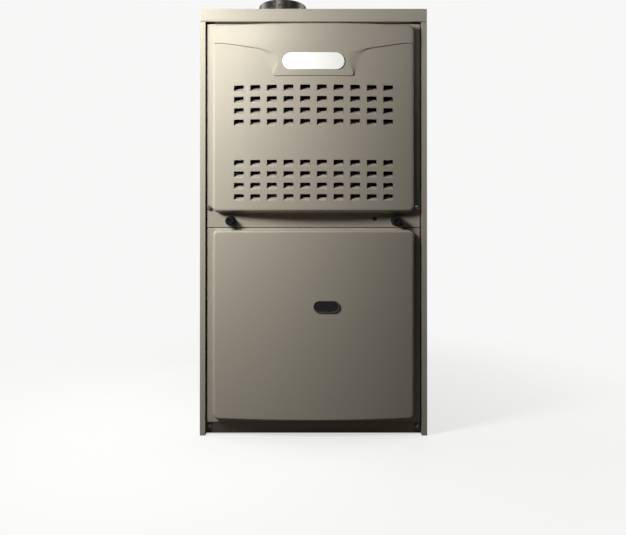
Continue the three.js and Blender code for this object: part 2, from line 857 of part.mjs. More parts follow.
function vestibulePanel() {
  const through = [vestibuleY - sheet, vestibuleBackY + sheet];
  const plate = box([-insideX, insideX], [vestibuleY, vestibuleBackY], [deckHeight + gap, insideTop]);
  const mouths = cellIndices.flatMap((index) => [
    rod('y', inletRadius, through, [cellX(index), 0, firstPassHeight]),
    rod('y', outletRadius, through, [cellX(index), 0, lastPassHeight]),
  ]);
  const bulbHole = rod('y', limitBulb + limitBulbClearance, through, [limitX, 0, limitHeight]);
  return cut(plate, mouths, bulbHole);
}

place('vestibule_panel', vestibulePanel(), finish.galvanised);

// Insulation on the sides and back of the heat exchanger's space.
function foilLiner() {
  const inner = insideX - liner;
  const frontOfLiner = vestibuleBackY + gap;
  const outline = [
    [-insideX, frontOfLiner], [-inner, frontOfLiner], [-inner, insideBackY - liner],
    [inner, insideBackY - liner], [inner, frontOfLiner], [insideX, frontOfLiner],
    [insideX, insideBackY], [-insideX, insideBackY],
  ];
  return prism('z', outline, [deckHeight + gap, insideTop]);
}

place('foil_liner', foilLiner(), finish.foil);

// ---- Flue ----

const flueBase = cabinetHeight - flueInset;

function flueCollar() {
  const flangeTop = cabinetHeight + gap + sheet;
  const inner = flueRadius - flueWall;
  return turned('z', [
    [inner, flueBase], [flueRadius, flueBase], [flueRadius, cabinetHeight + gap],
    [flueRadius + flueFlange, cabinetHeight + gap], [flueRadius + flueFlange, flangeTop],
    [flueRadius, flangeTop], [flueRadius, cabinetHeight + flueReach],
    [inner, cabinetHeight + flueReach], [inner, flueBase],
  ], [flueX, flueY, 0], largeSides);
}

place('flue_collar', flueCollar(), finish.fluePipe);

// The boot blends from the inducer's square outlet to the round collar.
function bootRing(z, blend, offset) {
  const halfDuct = [inducerDuctWidth / 2, inducerDepth / 2];
  const middleY = THREE.MathUtils.lerp((inducerFrontY + inducerBackY) / 2, flueY, blend);
  const ring = [];
  for (let i = 0; i < mediumSides; i += 1) {
    const angle = (i + 0.5) / mediumSides * 2 * Math.PI;
    const [c, s] = [Math.cos(angle), Math.sin(angle)];
    const square = 1 / Math.max(Math.abs(c), Math.abs(s));
    const x = THREE.MathUtils.lerp(halfDuct[0] * c * square, flueRadius * c, blend);
    const y = THREE.MathUtils.lerp(halfDuct[1] * s * square, flueRadius * s, blend);
    const shrink = 1 - offset / Math.hypot(x, y);
    ring.push(new THREE.Vector3(flueX + x * shrink, middleY + y * shrink, z));
  }
  return ring;
}

function flueBoot() {
  const [low, high] = [inducerDuctTop + gap, flueBase - gap];
  const levels = [[low, 0], [low + bootNeck, 0], [high - bootCollar, 1], [high, 1]];
  const outer = loft(levels.map(([z, blend]) => bootRing(z, blend, 0)));
  const reach = [-sheet, 0, 0, sheet];
  const inner = loft(levels.map(([z, blend], i) => bootRing(z + reach[i], blend, 2 * flueWall)));
  return cut(outer, inner);
}

place('flue_boot', flueBoot(), finish.fluePipe);

// ---- Heat exchanger ----

// The middle line of the passes, in (y, z): straight runs joined by half-round bends.
function passPath() {
  const bendRadius = passPitch / 2;
  const runFront = vestibuleBackY + gap;
  const bendBackY = runFront + cellLength - passHalfHeight - bendRadius;
  const bendFrontY = runFront + cellMargin + passHalfHeight + bendRadius;
  const bendSteps = 4;
  const path = [[runFront, firstPassHeight, 0]];
  for (let pass = 0; pass < passCount - 1; pass += 1) {
    const backwards = pass % 2 === 0;
    const middleZ = firstPassHeight + (pass + 0.5) * passPitch;
    for (let step = 0; step <= bendSteps; step += 1) {
      const turn = Math.PI * step / bendSteps;
      const out = Math.sin(turn) * bendRadius;
      const heading = backwards ? turn : Math.PI - turn;
      const y = backwards ? bendBackY + out : bendFrontY - out;
      path.push([y, middleZ - Math.cos(turn) * bendRadius, heading]);
    }
  }
  path.push([runFront, lastPassHeight, Math.PI]);
  return path;
}

// The passes as one winding tube with a flattened section. An overrun carries its two
// ends past the cell's front, which is how the hollow inside opens at both mouths.
function passes(x, halfWidthAcross, halfHeight, overrun) {
  const crown = halfWidthAcross / 3;
  const section = [
    [crown, halfHeight], [halfWidthAcross, 0], [crown, -halfHeight],
    [-crown, -halfHeight], [-halfWidthAcross, 0], [-crown, halfHeight],
  ];
  const path = passPath();
  path[0][0] -= overrun;
  path[path.length - 1][0] -= overrun;
  return loft(path.map(([y, z, heading]) => section.map(([across, up]) => new THREE.Vector3(
    x + across, y - up * Math.sin(heading), z + up * Math.cos(heading),
  ))));
}

// A clamshell cell: a flat seam with the pressed passes standing out on both sides. It is
// hollow from its inlet at the bottom to its outlet at the top.
function heatExchanger(index) {
  const x = cellX(index);
  const runFront = vestibuleBackY + gap;
  const edge = passHalfHeight + cellSeamMargin;
  const seam = rounded(
    [runFront, runFront + cellLength + cellSeamMargin],
    [firstPassHeight - edge, lastPassHeight + edge],
    edge / 2,
  );
  const mouth = (radius, z) => rod('y', radius, [runFront - sheet, runFront + mouthLength], [x, 0, z]);
  return cut(
    join(passes(x, passHalfWidth, passHalfHeight, 0), prism('x', seam, around(x, cellSeam))),
    passes(x, passHalfWidth - 2 * cellWall, passHalfHeight - cellWall, sheet),
    mouth(inletRadius, firstPassHeight),
    mouth(outletRadius, lastPassHeight),
  );
}

cellIndices.forEach((index) => {
  place(`heat_exchanger_${index + 1}`, heatExchanger(index), finish.aluminised);
});

// ---- Burners and gas train ----

// An inshot burner: a bell mouth, a venturi throat and a wide head, open from end to end.
function burner(index) {
  const throat = burnerThroat + burnerWall;
  const neck = burnerRadius - burnerBead / 2;
  const outer = [
    [burnerRadius, 0], [burnerRadius, burnerLip], [throat, burnerThroatStart], [throat, burnerThroatEnd],
    [neck, burnerHeadStart], [burnerRadius, burnerHeadStart + burnerBead], [burnerRadius, burnerLength],
  ];
  const lined = [outer[6], outer[4], outer[3], outer[2], outer[0]];
  const inner = lined.map(([radius, along]) => [radius - burnerWall, along]);
  const profile = [...outer, ...inner, outer[0]];
  return turned('y', profile, [cellX(index), burnerFrontY, firstPassHeight], smallSides);
}

cellIndices.forEach((index) => {
  place(`burner_${index + 1}`, burner(index), finish.aluminised);
});

// The shelf carries the burners on its floor and the manifold in its two side walls.
function burnerShelf() {
  const floor = shelfTop - shelfSheet / 2;
  const flangeY = vestibuleY - gap - shelfSheet / 2;
  const tray = bent([[burnerFrontY, floor], [flangeY, floor], [flangeY, floor - shelfFlange]], shelfSheet);
  const wallOutline = [
    [manifoldY - manifoldRadius - shelfEdge, shelfTop - shelfSheet],
    [vestibuleY - gap, shelfTop - shelfSheet],
    [vestibuleY - gap, shelfTop + shelfWallHeight],
    [burnerFrontY, shelfTop + shelfWallHeight],
    [manifoldY - manifoldRadius - shelfEdge, firstPassHeight + manifoldRadius + shelfEdge],
  ];
  const outsideX = shelfHalfWidth + shelfSheet;
  const wall = (side) => prism('x', wallOutline, onSide(side, shelfHalfWidth, outsideX));
  const holeRun = [-outsideX - shelfSheet, outsideX + shelfSheet];
  const manifoldHole = rod('x', manifoldRadius + gap, holeRun, [0, manifoldY, firstPassHeight]);
  return cut(join(prism('x', tray, [-outsideX, outsideX]), wall(-1), wall(1)), manifoldHole);
}

place('burner_shelf', burnerShelf(), finish.galvanised);

// The valve stands between the shelf's left wall and the cabinet's side.
const valveRightX = -shelfHalfWidth - shelfSheet - valveGap;
const valveLeftX = valveRightX - valveWidth;

function gasManifold() {
  const farEnd = shelfHalfWidth + shelfSheet + manifoldOverhang;
  const spudRun = [manifoldY, burnerFrontY + spudReach];
  const spuds = cellIndices.map((index) => (
    rod('y', spudRadius, spudRun, [cellX(index), 0, firstPassHeight], tinySides)
  ));
  return join(
    rod('x', manifoldRadius, [valveRightX + gap, farEnd], [0, manifoldY, firstPassHeight]),
    ...spuds,
  );
}

place('gas_manifold', gasManifold(), finish.pipeBlack);

// The valve: a cast body with a coil housing on top and a regulator tower in front.
function gasValve() {
  const frontFace = manifoldY - valveDepth / 2;
  const top = firstPassHeight + valveHeight / 2;
  const coilX = (valveLeftX + valveRightX) / 2 + coilShift;
  const body = prism(
    'y',
    rounded([valveLeftX, valveRightX], around(firstPassHeight, valveHeight), valveCorner),
    around(manifoldY, valveDepth),
  );
  const coil = prism(
    'z',
    rounded(around(coilX, coilWidth), around(manifoldY, coilDepth), valveCorner / 2),
    [top - sheet, top + coilHeight],
  );
  const towerCentre = [valveRightX - towerInset, 0, firstPassHeight - towerDrop];
  return join(body, coil, rod('y', towerRadius, [frontFace - towerReach, frontFace + sheet], towerCentre));
}

place('gas_valve', gasValve(), finish.castAluminium);

// A round knob with a grip bar across its face.
function gasValveKnob() {
  const backFace = manifoldY - valveDepth / 2 - gap;
  const centre = [valveLeftX + valveKnobInset, 0, firstPassHeight + valveKnobLift];
  const disc = rod('y', valveKnobRadius, [backFace - valveKnobDisc, backFace], centre, mediumSides);
  const grip = box(
    around(centre[0], 2 * valveKnobRadius - valveGrip / 2),
    [backFace - valveKnobDepth, backFace - valveKnobDisc + sheet],
    around(centre[2], valveGrip),
  );
  return join(disc, grip);
}

place('gas_valve_knob', gasValveKnob(), finish.redPlastic);

// The inlet pipe runs from the valve to the side panel's face, and has a nut at the valve.
function gasInletPipe() {
  const centre = [0, manifoldY, firstPassHeight];
  const end = valveLeftX - gap;
  const nutStart = end - gasPipeNutLength;
  return cut(
    join(
      rod('x', gasPipeRadius, [-halfWidth, end], centre),
      rod('x', gasPipeNut, [nutStart, end], centre, tinySides),
    ),
    rod('x', gasPipeRadius - gasPipeWall, [-halfWidth - sheet, nutStart], centre),
  );
}

place('gas_inlet_pipe', gasInletPipe(), finish.pipeBlack);

// Both electrodes hang on the shelf's walls, in the space between burner and panel.
const electrodeY = vestibuleY - burnerHeadGap / 2;

function igniter() {
  const wallX = shelfHalfWidth - gap;
  const bladeX = wallX - igniterBlock;
  const block = box(
    [bladeX, wallX],
    around(electrodeY, igniterBlock),
    around(firstPassHeight, igniterBlock),
  );
  const blade = box(
    [bladeX - igniterReach, bladeX + sheet],
    around(electrodeY, igniterBladeThickness),
    around(firstPassHeight, igniterBladeHeight),
  );
  return join(block, blade);
}

function flameSensor() {
  const wallX = -shelfHalfWidth + gap;
  const rodX = wallX + igniterBlock;
  const centre = [0, electrodeY, firstPassHeight + sensorLift];
  return join(
    rod('x', sensorRadius, [wallX, rodX], centre, tinySides),
    rod('x', sensorRodRadius, [rodX - sheet, rodX + igniterReach], centre, tinySides),
  );
}

place('igniter', igniter(), finish.ceramic);
place('flame_sensor', flameSensor(), finish.ceramic);

// Each rollout switch sits outside one of the shelf's walls, with its reset button in it.
const rolloutY = burnerFrontY + burnerLength / 2;
const rolloutHeight = firstPassHeight + burnerRadius + rolloutLift;
const rolloutBackX = shelfHalfWidth + shelfSheet + gap;
const rolloutFaceX = rolloutBackX + rolloutDepth;

function rolloutSwitch(side) {
  const centre = [0, rolloutY, rolloutHeight];
  const plate = box(
    onSide(side, rolloutBackX, rolloutBackX + rolloutPlate),
    around(rolloutY, rolloutPlateLength),
    around(rolloutHeight, rolloutPlateHeight),
  );
  const buttonRun = onSide(side, rolloutFaceX - resetLength, rolloutFaceX + sheet);
  return cut(
    join(rod('x', rolloutRadius, onSide(side, rolloutBackX, rolloutFaceX), centre), plate),
    rod('x', resetRadius + gap, buttonRun, centre, tinySides),
  );
}

function resetButton(side) {
  const run = onSide(side, rolloutFaceX - resetLength + gap, rolloutFaceX + resetProud);
  return rod('x', resetRadius, run, [0, rolloutY, rolloutHeight], tinySides);
}

[[-1, 'left'], [1, 'right']].forEach(([side, name]) => {
  place(`rollout_switch_${name}`, rolloutSwitch(side), finish.blackPlastic);
  place(`reset_button_${name}`, resetButton(side), finish.redPlastic);
});

// ---- Draught inducer ----

const inducerAxis = [inducerX, 0, inducerHeight];

// A pan over the cells' outlets, with a rim against the vestibule panel.
function collectorBox() {
  const wall = collectorWall;
  const backFace = vestibuleY - gap;
  const pan = box(
    [-collectorHalfWidth, collectorHalfWidth],
    [collectorFrontY, backFace],
    [collectorBase, collectorTop],
  );
  const rim = box(
    [-collectorHalfWidth - collectorRim, collectorHalfWidth + collectorRim],
    [backFace - wall, backFace],
    [collectorBase - collectorRim, collectorTop + collectorRim],
  );
  const hollow = box(
    [wall - collectorHalfWidth, collectorHalfWidth - wall],
    [collectorFrontY + wall, backFace + wall],
    [collectorBase + wall, collectorTop - wall],
  );
  const eyeRun = [collectorFrontY - wall, collectorFrontY + 2 * wall];
  return cut(join(pan, rim), hollow, rod('y', inducerEye, eyeRun, inducerAxis));
}

place('collector_box', collectorBox(), finish.galvanised);

// The hose's spigot on the volute's front.
const housingPort = [inducerX + inducerCutoff - portInset, 0, inducerHeight - portDrop];

// The volute's outline in (x, z): a spiral that opens to the left into an upward duct.
function voluteOutline(inset, top) {
  const left = inducerX - inducerRadius + inset;
  const outline = [[left, inducerHeight]];
  const steps = 15;
  for (let step = 1; step <= steps; step += 1) {
    const turn = THREE.MathUtils.degToRad(180 + inducerTurn * step / steps);
    const radius = THREE.MathUtils.lerp(inducerRadius, inducerCutoff, step / steps) - inset;
    outline.push([inducerX + radius * Math.cos(turn), inducerHeight + radius * Math.sin(turn)]);
  }
  const ductRight = inducerX - inducerRadius + inducerDuctWidth - inset;
  return [...outline, [ductRight, top], [left, top]];
}

function inducerHousing() {
  const middleY = (inducerFrontY + inducerBackY) / 2;
  const shell = prism('y', voluteOutline(0, inducerDuctTop), [inducerFrontY, inducerBackY]);
  const rim = prism('y', voluteOutline(-inducerRim, inducerDuctTop), around(middleY, inducerRim));
  const hollow = prism(
    'y',
    voluteOutline(inducerWall, inducerDuctTop + inducerWall),
    [inducerFrontY + inducerWall, inducerBackY - inducerWall],
  );
  const portRun = [inducerFrontY - portLength, inducerFrontY + sheet];
  const port = rod('y', portRadius, portRun, housingPort, tinySides);
  const eyeRun = [inducerBackY - 2 * inducerWall, inducerBackY + inducerWall];
  const shaftRun = [inducerFrontY - inducerWall, inducerFrontY + 2 * inducerWall];
  return cut(
    join(shell, rim, port),
    hollow,
    rod('y', inducerEye, eyeRun, inducerAxis),
    rod('y', inducerShaft + shaftClearance, shaftRun, inducerAxis),
  );
}

place('inducer_housing', inducerHousing(), finish.castAluminium);

const inducerMotorBackY = inducerFrontY - inducerStandoff;
const inducerMotorFrontY = inducerMotorBackY - inducerMotorLength;

// The motor stands on three posts in front of the volute, with its shaft bore right through.
function inducerMotor() {
  const bore = inducerShaft + gap;
  const edge = inducerMotorBevel;
  const body = turned('y', [
    [bore, inducerMotorFrontY], [inducerMotorRadius - edge, inducerMotorFrontY],
    [inducerMotorRadius, inducerMotorFrontY + edge], [inducerMotorRadius, inducerMotorBackY - edge],
    [inducerMotorRadius - edge, inducerMotorBackY], [bore, inducerMotorBackY], [bore, inducerMotorFrontY],
  ], inducerAxis, mediumSides);
  const posts = [90, 210, 330].map((degrees) => {
    const turn = THREE.MathUtils.degToRad(degrees);
    const reach = inducerMotorRadius - inducerPostInset;
    const centre = [inducerX + reach * Math.cos(turn), 0, inducerHeight + reach * Math.sin(turn)];
    return rod('y', inducerPostRadius, [inducerMotorBackY - sheet, inducerFrontY - gap], centre, tinySides);
  });
  return join(body, ...posts);
}

place('inducer_motor', inducerMotor(), finish.motorBlack);

const inducerWheelFrontY = inducerFrontY + inducerWall + inducerWheelClearance;
const inducerWheelBackY = inducerBackY - inducerWall - inducerWheelClearance;
const coolingFanBackY = inducerMotorFrontY - gap;
const coolingFanFrontY = coolingFanBackY - coolingFanDepth;
const shaftFrontY = coolingFanFrontY + 2 * sheet; // the fan's face covers the shaft's end

// The inducer's wheel, with the shaft that runs forward through the motor.
function inducerWheel() {
  const face = inducerWheelFrontY;
  const blades = Array.from({ length: inducerBlades }, (_, index) => {
    const blade = box(
      [inducerX + inducerBladeRoot, inducerX + inducerWheelRadius],
      [face + inducerWheelDisc / 2, inducerWheelBackY],
      around(inducerHeight, inducerBlade),
    );
    return turnedRoundY(blade, index * 360 / inducerBlades, [inducerX, inducerHeight]);
  });
  return join(
    rod('y', inducerWheelRadius, [face, face + inducerWheelDisc], inducerAxis, mediumSides),
    rod('y', inducerHubRadius, [face, face + inducerHubLength], inducerAxis, tinySides),
    rod('y', inducerShaft, [shaftFrontY, face + inducerWheelDisc / 2], inducerAxis),
    ...blades,
  );
}

place('inducer_wheel', inducerWheel(), finish.galvanised);

function coolingFan() {
  const hub = rod('y', inducerHubRadius, [coolingFanFrontY, coolingFanBackY], inducerAxis);
  const middleY = (coolingFanFrontY + coolingFanBackY) / 2;
  const root = inducerHubRadius - coolingFanBlade;
  const blades = Array.from({ length: coolingFanBlades }, (_, index) => {
    const flat = box([root, coolingFanRadius], around(0, coolingFanBlade), around(0, coolingFanChord));
    const pitched = flat.rotate([coolingFanPitch, 0, 0]).translate([inducerX, middleY, inducerHeight]);
    return turnedRoundY(pitched, index * 360 / coolingFanBlades, [inducerX, inducerHeight]);
  });
  const bore = rod('y', inducerShaft + gap, [shaftFrontY - gap, coolingFanBackY + sheet], inducerAxis);
  return cut(join(hub, ...blades), bore);
}

place('inducer_cooling_fan', coolingFan(), finish.blackPlastic);

// ---- Safety switches and hose ----

const switchPort = [pressureSwitchX, 0, pressureSwitchHeight];

// A round diaphragm housing with a wider seam and a spigot for the hose.
function pressureSwitch() {
  const backFace = collectorFrontY - gap;
  const frontFace = backFace - pressureSwitchDepth;
  const seam = pressureSwitchSeam;
  const [seamFront, seamBack] = around((frontFace + backFace) / 2, seam);
  const inner = pressureSwitchRadius - seam;
  return join(
    turned('y', [
      [0, frontFace], [inner - seam, frontFace], [inner, frontFace + seam], [inner, seamFront],
      [pressureSwitchRadius, seamFront], [pressureSwitchRadius, seamBack], [inner, seamBack],
      [inner, backFace], [0, backFace],
    ], switchPort, mediumSides),
    rod('y', portRadius, [frontFace - portLength, frontFace + sheet], switchPort, tinySides),
  );
}

place('pressure_switch', pressureSwitch(), finish.greyPlastic);

// The hose's route, from the switch's spigot to the housing's. It leaves each spigot straight,
// bows forward and hangs down between them: its points are chosen by hand.
function pressureHose() {
  const switchFrontY = collectorFrontY - gap - pressureSwitchDepth;
  const start = new THREE.Vector3(switchPort[0], switchFrontY - portLength - gap, switchPort[2]);
  const end = new THREE.Vector3(housingPort[0], inducerFrontY - portLength - gap, housingPort[2]);
  const beside = (point, x, y, z) => point.clone().add(new THREE.Vector3(x, y, z));
  const lowest = new THREE.Vector3((start.x + end.x) / 2, end.y - hoseStraight - hoseBow, start.z - hoseSag);
  const route = new THREE.CatmullRomCurve3([
    start,
    beside(start, 0, -hoseStraight, 0),
    beside(start, -hoseShift, -hoseStraight - hoseBow, -hoseShift),
    lowest,
    beside(end, hoseShift, -hoseStraight - hoseBow, -hoseShift),
    beside(end, 0, -hoseStraight, 0),
    end,
  ], false, 'centripetal');
  const section = new THREE.Shape().absarc(0, 0, hoseRadius, 0, 2 * Math.PI);
  const settings = { steps: 16, extrudePath: route, curveSegments: 4, bevelEnabled: false };
  return solid(new THREE.ExtrudeGeometry(section, settings));
}

place('pressure_hose', pressureHose(), finish.rubberHose);

// A disc thermostat on a plate, with its bulb through the vestibule panel.
function limitSwitch() {
  const backFace = vestibuleY - gap;
  const frontFace = backFace - limitDepth;
  const centre = [limitX, 0, limitHeight];
  const terminal = (side) => box(
    around(limitX + side * limitRadius / 2, sheet),
    [frontFace - limitTerminalReach, frontFace + sheet],
    around(limitHeight, limitTerminal),
  );
  const plate = box(
    around(limitX, limitPlateWidth),
    [backFace - sheet, backFace],
    around(limitHeight, limitPlateHeight),
  );
  return join(
    plate,
    rod('y', limitRadius, [frontFace, backFace], centre),
    rod('y', limitBulb, [backFace - sheet, vestibuleBackY + limitBulbReach], centre, tinySides),
    terminal(-1),
    terminal(1),
  );
}

place('limit_switch', limitSwitch(), finish.greyPlastic);

// ---- Blower ----

const blowerAxis = [0, blowerY, blowerHeight];
const ductTop = deckHeight - sheet - gap;

// The scroll's wrap in (y, z): from the cutoff round under the wheel and up the back wall.
function scrollPath(offset) {
  const path = [[scrollDuctFrontY - offset, ductTop]];
  const steps = 18;
  for (let step = 0; step <= steps; step += 1) {
    const turn = THREE.MathUtils.degToRad(THREE.MathUtils.lerp(scrollStart, 360, step / steps));
    const radius = THREE.MathUtils.lerp(scrollCutoff, scrollEnd, step / steps) + offset;
    path.push([blowerY + radius * Math.cos(turn), blowerHeight + radius * Math.sin(turn)]);
  }
  return [...path, [scrollDuctBackY + offset, ductTop]];
}

// The scroll housing: two cheeks with flared inlets, the wrap and a flange under the deck.
function blowerHousing() {
  const half = housingWidth / 2;
  const cheek = (side) => {
    const eyeRun = onSide(side, half - 2 * sheet, half + sheet);
    const eye = rod('x', eyeRadius + eyeLap, eyeRun, blowerAxis, largeSides);
    return cut(prism('x', scrollPath(sheet / 2), onSide(side, half - sheet, half)), eye);
  };
  const ring = (side) => turned('x', [
    [eyeRadius + inletFlare, side * (half + sheet)], [eyeRadius + inletFlare, side * (half - sheet / 2)],
    [eyeRadius, side * (half - inletDepth)], [eyeRadius + sheet, side * (half + sheet)],
    [eyeRadius + inletFlare, side * (half + sheet)],
  ], blowerAxis, largeSides);
  const wrap = prism('x', bent(scrollPath(0), sheet), [-half, half]);
  const rim = box(
    [-half - housingFlange, half + housingFlange],
    [scrollDuctFrontY - housingFlange, scrollDuctBackY + housingFlange],
    [ductTop - sheet, ductTop],
  );
  const outlet = box(
    [sheet - half, half - sheet],
    [scrollDuctFrontY, scrollDuctBackY],
    [ductTop - 2 * sheet, ductTop + sheet],
  );
  const flange = cut(rim, outlet);
  return join(cheek(-1), cheek(1), ring(-1), ring(1), wrap, flange);
}

place('blower_housing', blowerHousing(), finish.galvanised);

// The squirrel-cage wheel: forward-curved blades between end rings and a middle disc.
function blowerWheel() {
  const inner = wheelRadius - bladeDepth;
  const half = wheelWidth / 2;
  const sweep = THREE.MathUtils.degToRad(bladeSweep);
  const blades = Array.from({ length: wheelBlades }, (_, index) => {
    const start = 2 * Math.PI * index / wheelBlades;
    const curve = [0, 0.5, 1].map((share) => {
      const radius = inner + (bladeDepth - wheelDisc) * share;
      const turn = start + sweep * share * share;
      return [blowerY + radius * Math.cos(turn), blowerHeight + radius * Math.sin(turn)];
    });
    return prism('x', bent(curve, bladeThickness), [wheelRing / 2 - half, half - wheelRing / 2]);
  });
  const endRing = (side) => {
    const run = onSide(side, half - wheelRing, half);
    return pipe('x', wheelRadius, inner - bladeThickness, run, blowerAxis, wheelBlades);
  };
  const disc = rod('x', wheelRadius - wheelDisc, around(0, wheelDisc), blowerAxis, wheelBlades);
  const hub = rod('x', wheelHubRadius, [-wheelHubBack, wheelHubFront], blowerAxis);
  const boreRun = [-wheelHubBack - sheet, wheelHubFront + sheet];
  const bore = rod('x', blowerShaftRadius + gap, boreRun, blowerAxis);
  return cut(join(disc, hub, endRing(-1), endRing(1), ...blades), bore);
}

place('blower_wheel', blowerWheel(), finish.galvanised);

const shaftRun = [-wheelHubBack - shaftOverhang, motorOffset + shaftHold - gap];

place('blower_shaft', rod('x', blowerShaftRadius, shaftRun, blowerAxis), finish.zinc);

function blowerMotor() {
  const end = motorOffset + motorLength;
  const [bell, crown] = [motorBell, motorRadius - motorCrown];
  const body = turned('x', [
    [0, motorOffset], [motorRadius - bell, motorOffset], [crown, motorOffset + bell / 2],
    [motorRadius, motorOffset + bell], [motorRadius, end - bell], [crown, end - bell / 2],
    [motorRadius - bell, end], [0, end],
  ], blowerAxis, largeSides);
  const boreRun = [motorOffset - sheet, motorOffset + shaftHold];
  const bore = rod('x', blowerShaftRadius + shaftRunning, boreRun, blowerAxis);
  return cut(body, bore);
}

place('blower_motor', blowerMotor(), finish.motorBlack);

// The belly band round the motor, with three arms that stand on the housing's cheek.
function motorMount() {
  const cheekX = housingWidth / 2 + gap;
  const bandStart = cheekX + bandStandoff;
  const inner = motorRadius + gap;
  const outer = inner + bandThickness;
  const footRadius = eyeRadius + inletFlare + footMargin;
  const footEnd = footRadius + footLength;
  const armX = around(bandStart + bandStandoff, armThickness);
  const across = around(blowerHeight, armWidth);
  const bar = (along, from, to) => box(along, [blowerY + from, blowerY + to], across);
  const arm = (degrees) => turnedRoundX(join(
    bar(armX, inner + bandThickness / 2, footEnd),
    bar([cheekX, armX[1]], footEnd - armThickness, footEnd),
    bar([cheekX, cheekX + footThickness], footRadius, footEnd),
  ), degrees, [blowerY, blowerHeight]);
  const band = pipe('x', outer, inner, [bandStart, bandStart + bandWidth], blowerAxis, largeSides);
  return join(band, arm(30), arm(150), arm(270));
}

place('motor_mount', motorMount(), finish.galvanised);

// The run capacitor, strapped upright to the left cheek beside the outlet.
function capacitor() {
  const middleX = -housingWidth / 2 - gap - capacitorRadius;
  const middleY = (scrollDuctFrontY + scrollDuctBackY) / 2 + capacitorShift;
  const top = ductTop - housingFlange - capacitorDrop;
  const can = rounded(
    around(middleX, 2 * capacitorRadius),
    around(middleY, capacitorWidth),
    capacitorRadius - gap,
  );
  const terminal = (side) => box(
    around(middleX, sheet),
    around(middleY + side * capacitorTerminalPitch / 2, capacitorTerminal),
    [top - sheet, top + capacitorTerminalHeight],
  );
  return join(prism('z', can, [top - capacitorLength, top], 3), terminal(-1), terminal(1));
}

place('capacitor', capacitor(), finish.galvanised);

// ---- Controls ----

// The control tray hangs from the deck in front of the blower.
function controlBox() {
  const backY = trayY + sheet / 2;
  const lipY = trayY - trayLip;
  const [left, right] = [trayLeft + sheet / 2, trayRight - sheet / 2];
  const fold = bent([[left, lipY], [left, backY], [right, backY], [right, lipY]], sheet);
  return join(
    prism('z', fold, [trayBase, ductTop]),
    box([trayLeft, trayRight], [lipY, trayY + sheet], [ductTop - sheet, ductTop]),
  );
}

place('control_box', controlBox(), finish.galvanised);

// The control board on four posts, with relays, connectors, a fuse and a status lamp.
function controlBoard() {
  const backFace = trayY - gap - boardStandoff;
  const frontFace = backFace - boardThickness;
  const sink = boardThickness / 3; // how far a part's foot goes into the board
  const columns = [boardLeft + boardPostInset, boardRight - boardPostInset];
  const levels = [boardBase + boardPostInset, boardTop - boardPostInset];
  const posts = columns.flatMap((x) => levels.map(
    (z) => rod('y', boardPostRadius, [frontFace - boardThickness, trayY - gap], [x, 0, z], tinySides),
  ));
  // A part on the board, by its inset from the left, its rise from the base and its size.
  const onBoard = (inset, rise, width, height, depth) => box(
    [boardLeft + inset, boardLeft + inset + width],
    [frontFace - depth, frontFace + sink],
    [boardBase + rise, boardBase + rise + height],
  );
  const onBase = (inset, length) => onBoard(inset, connectorRise, length, connectorHeight, connectorDepth);
  const upright = (inset, rise, length) => onBoard(inset, rise, connectorHeight, length, connectorDepth);
  const relayRise = boardHeight - relayDrop - relayHeight;
  const relays = [0, 1, 2].map((index) => (
    onBoard(relayInset + index * relayPitch, relayRise, relayWidth, relayHeight, relayDepth)
  ));
  const mainsConnector = onBase(mainsConnectorInset, mainsConnectorLength);
  const sensorConnector = onBase(sensorConnectorInset, sensorConnectorLength);
  const thermostatStrip = upright(thermostatStripInset, thermostatStripRise, thermostatStripLength);
  const fuse = upright(fuseInset, fuseRise, fuseLength);
  const processor = onBoard(processorInset, processorRise, processorSize, processorSize, processorDepth);
  const lampRun = [frontFace - statusLampLength, frontFace + sink];
  return join(
    box([boardLeft, boardRight], [frontFace, backFace], [boardBase, boardTop]),
    posts,
    relays,
    mainsConnector,
    sensorConnector,
    thermostatStrip,
    fuse,
    processor,
    rod('y', statusLampRadius, lampRun, [sightX, 0, sightHeight], tinySides),
  );
}

place('control_board', controlBoard(), finish.circuitBoard);

// The transformer: a laminated core round a wound bobbin, on two feet.
function transformer() {
  const backFace = trayY - gap;
  const middleZ = transformerBase + transformerHeight / 2;
  const coreY = backFace - transformerDepth / 2;
  const core = box(
    around(transformerX, transformerWidth),
    around(coreY, coreDepth),
    around(middleZ, transformerHeight),
  );
  const bobbin = prism(
    'z',
    rounded(around(transformerX, bobbinWidth), [backFace - transformerDepth, backFace], bobbinCorner),
    around(middleZ, bobbinHeight),
  );
  const strap = around(middleZ, footWidth);
  return join(
    core,
    bobbin,
    box(around(transformerX, transformerWidth + 2 * footReach), [backFace - footSheet, backFace], strap),
    box(around(transformerX, transformerWidth), [coreY, backFace], strap),
  );
}

place('transformer', transformer(), finish.darkSteel);

// The door switch behind the centre rail. Its plunger meets a tab on the lower door.
const doorSwitchFrontY = deckRailBackY + gap;

function doorSwitch() {
  const body = box(
    around(doorSwitchX, doorSwitchWidth),
    [doorSwitchFrontY, doorSwitchFrontY + doorSwitchDepth],
    around(doorSwitchHeight + doorSwitchLift, doorSwitchTall),
  );
  const boreRun = [doorSwitchFrontY - sheet, doorSwitchFrontY + plungerHold + plungerTravel + sheet];
  return cut(body, rod('y', plungerRadius + gap, boreRun, [doorSwitchX, 0, doorSwitchHeight]));
}

function doorSwitchPlunger() {
  const run = [stopFrontY, doorSwitchFrontY + plungerHold];
  return rod('y', plungerRadius, run, [doorSwitchX, 0, doorSwitchHeight]);
}

place('door_switch', doorSwitch(), finish.blackPlastic);
place('door_switch_plunger', doorSwitchPlunger(), finish.greyPlastic);

// The line-voltage junction box on the right side, with a lipped cover towards the door.
function junctionBox() {
  const near = frontY + boxSetback;
  const lip = boxCoverLip;
  const top = boxBase + boxHeight;
  return join(
    box([insideX - boxWidth, insideX], [near + lip, near + boxLength], [boxBase, top]),
    box([insideX - boxWidth - lip, insideX], [near, near + boxCoverDepth], [boxBase - lip, top + lip]),
  );
}

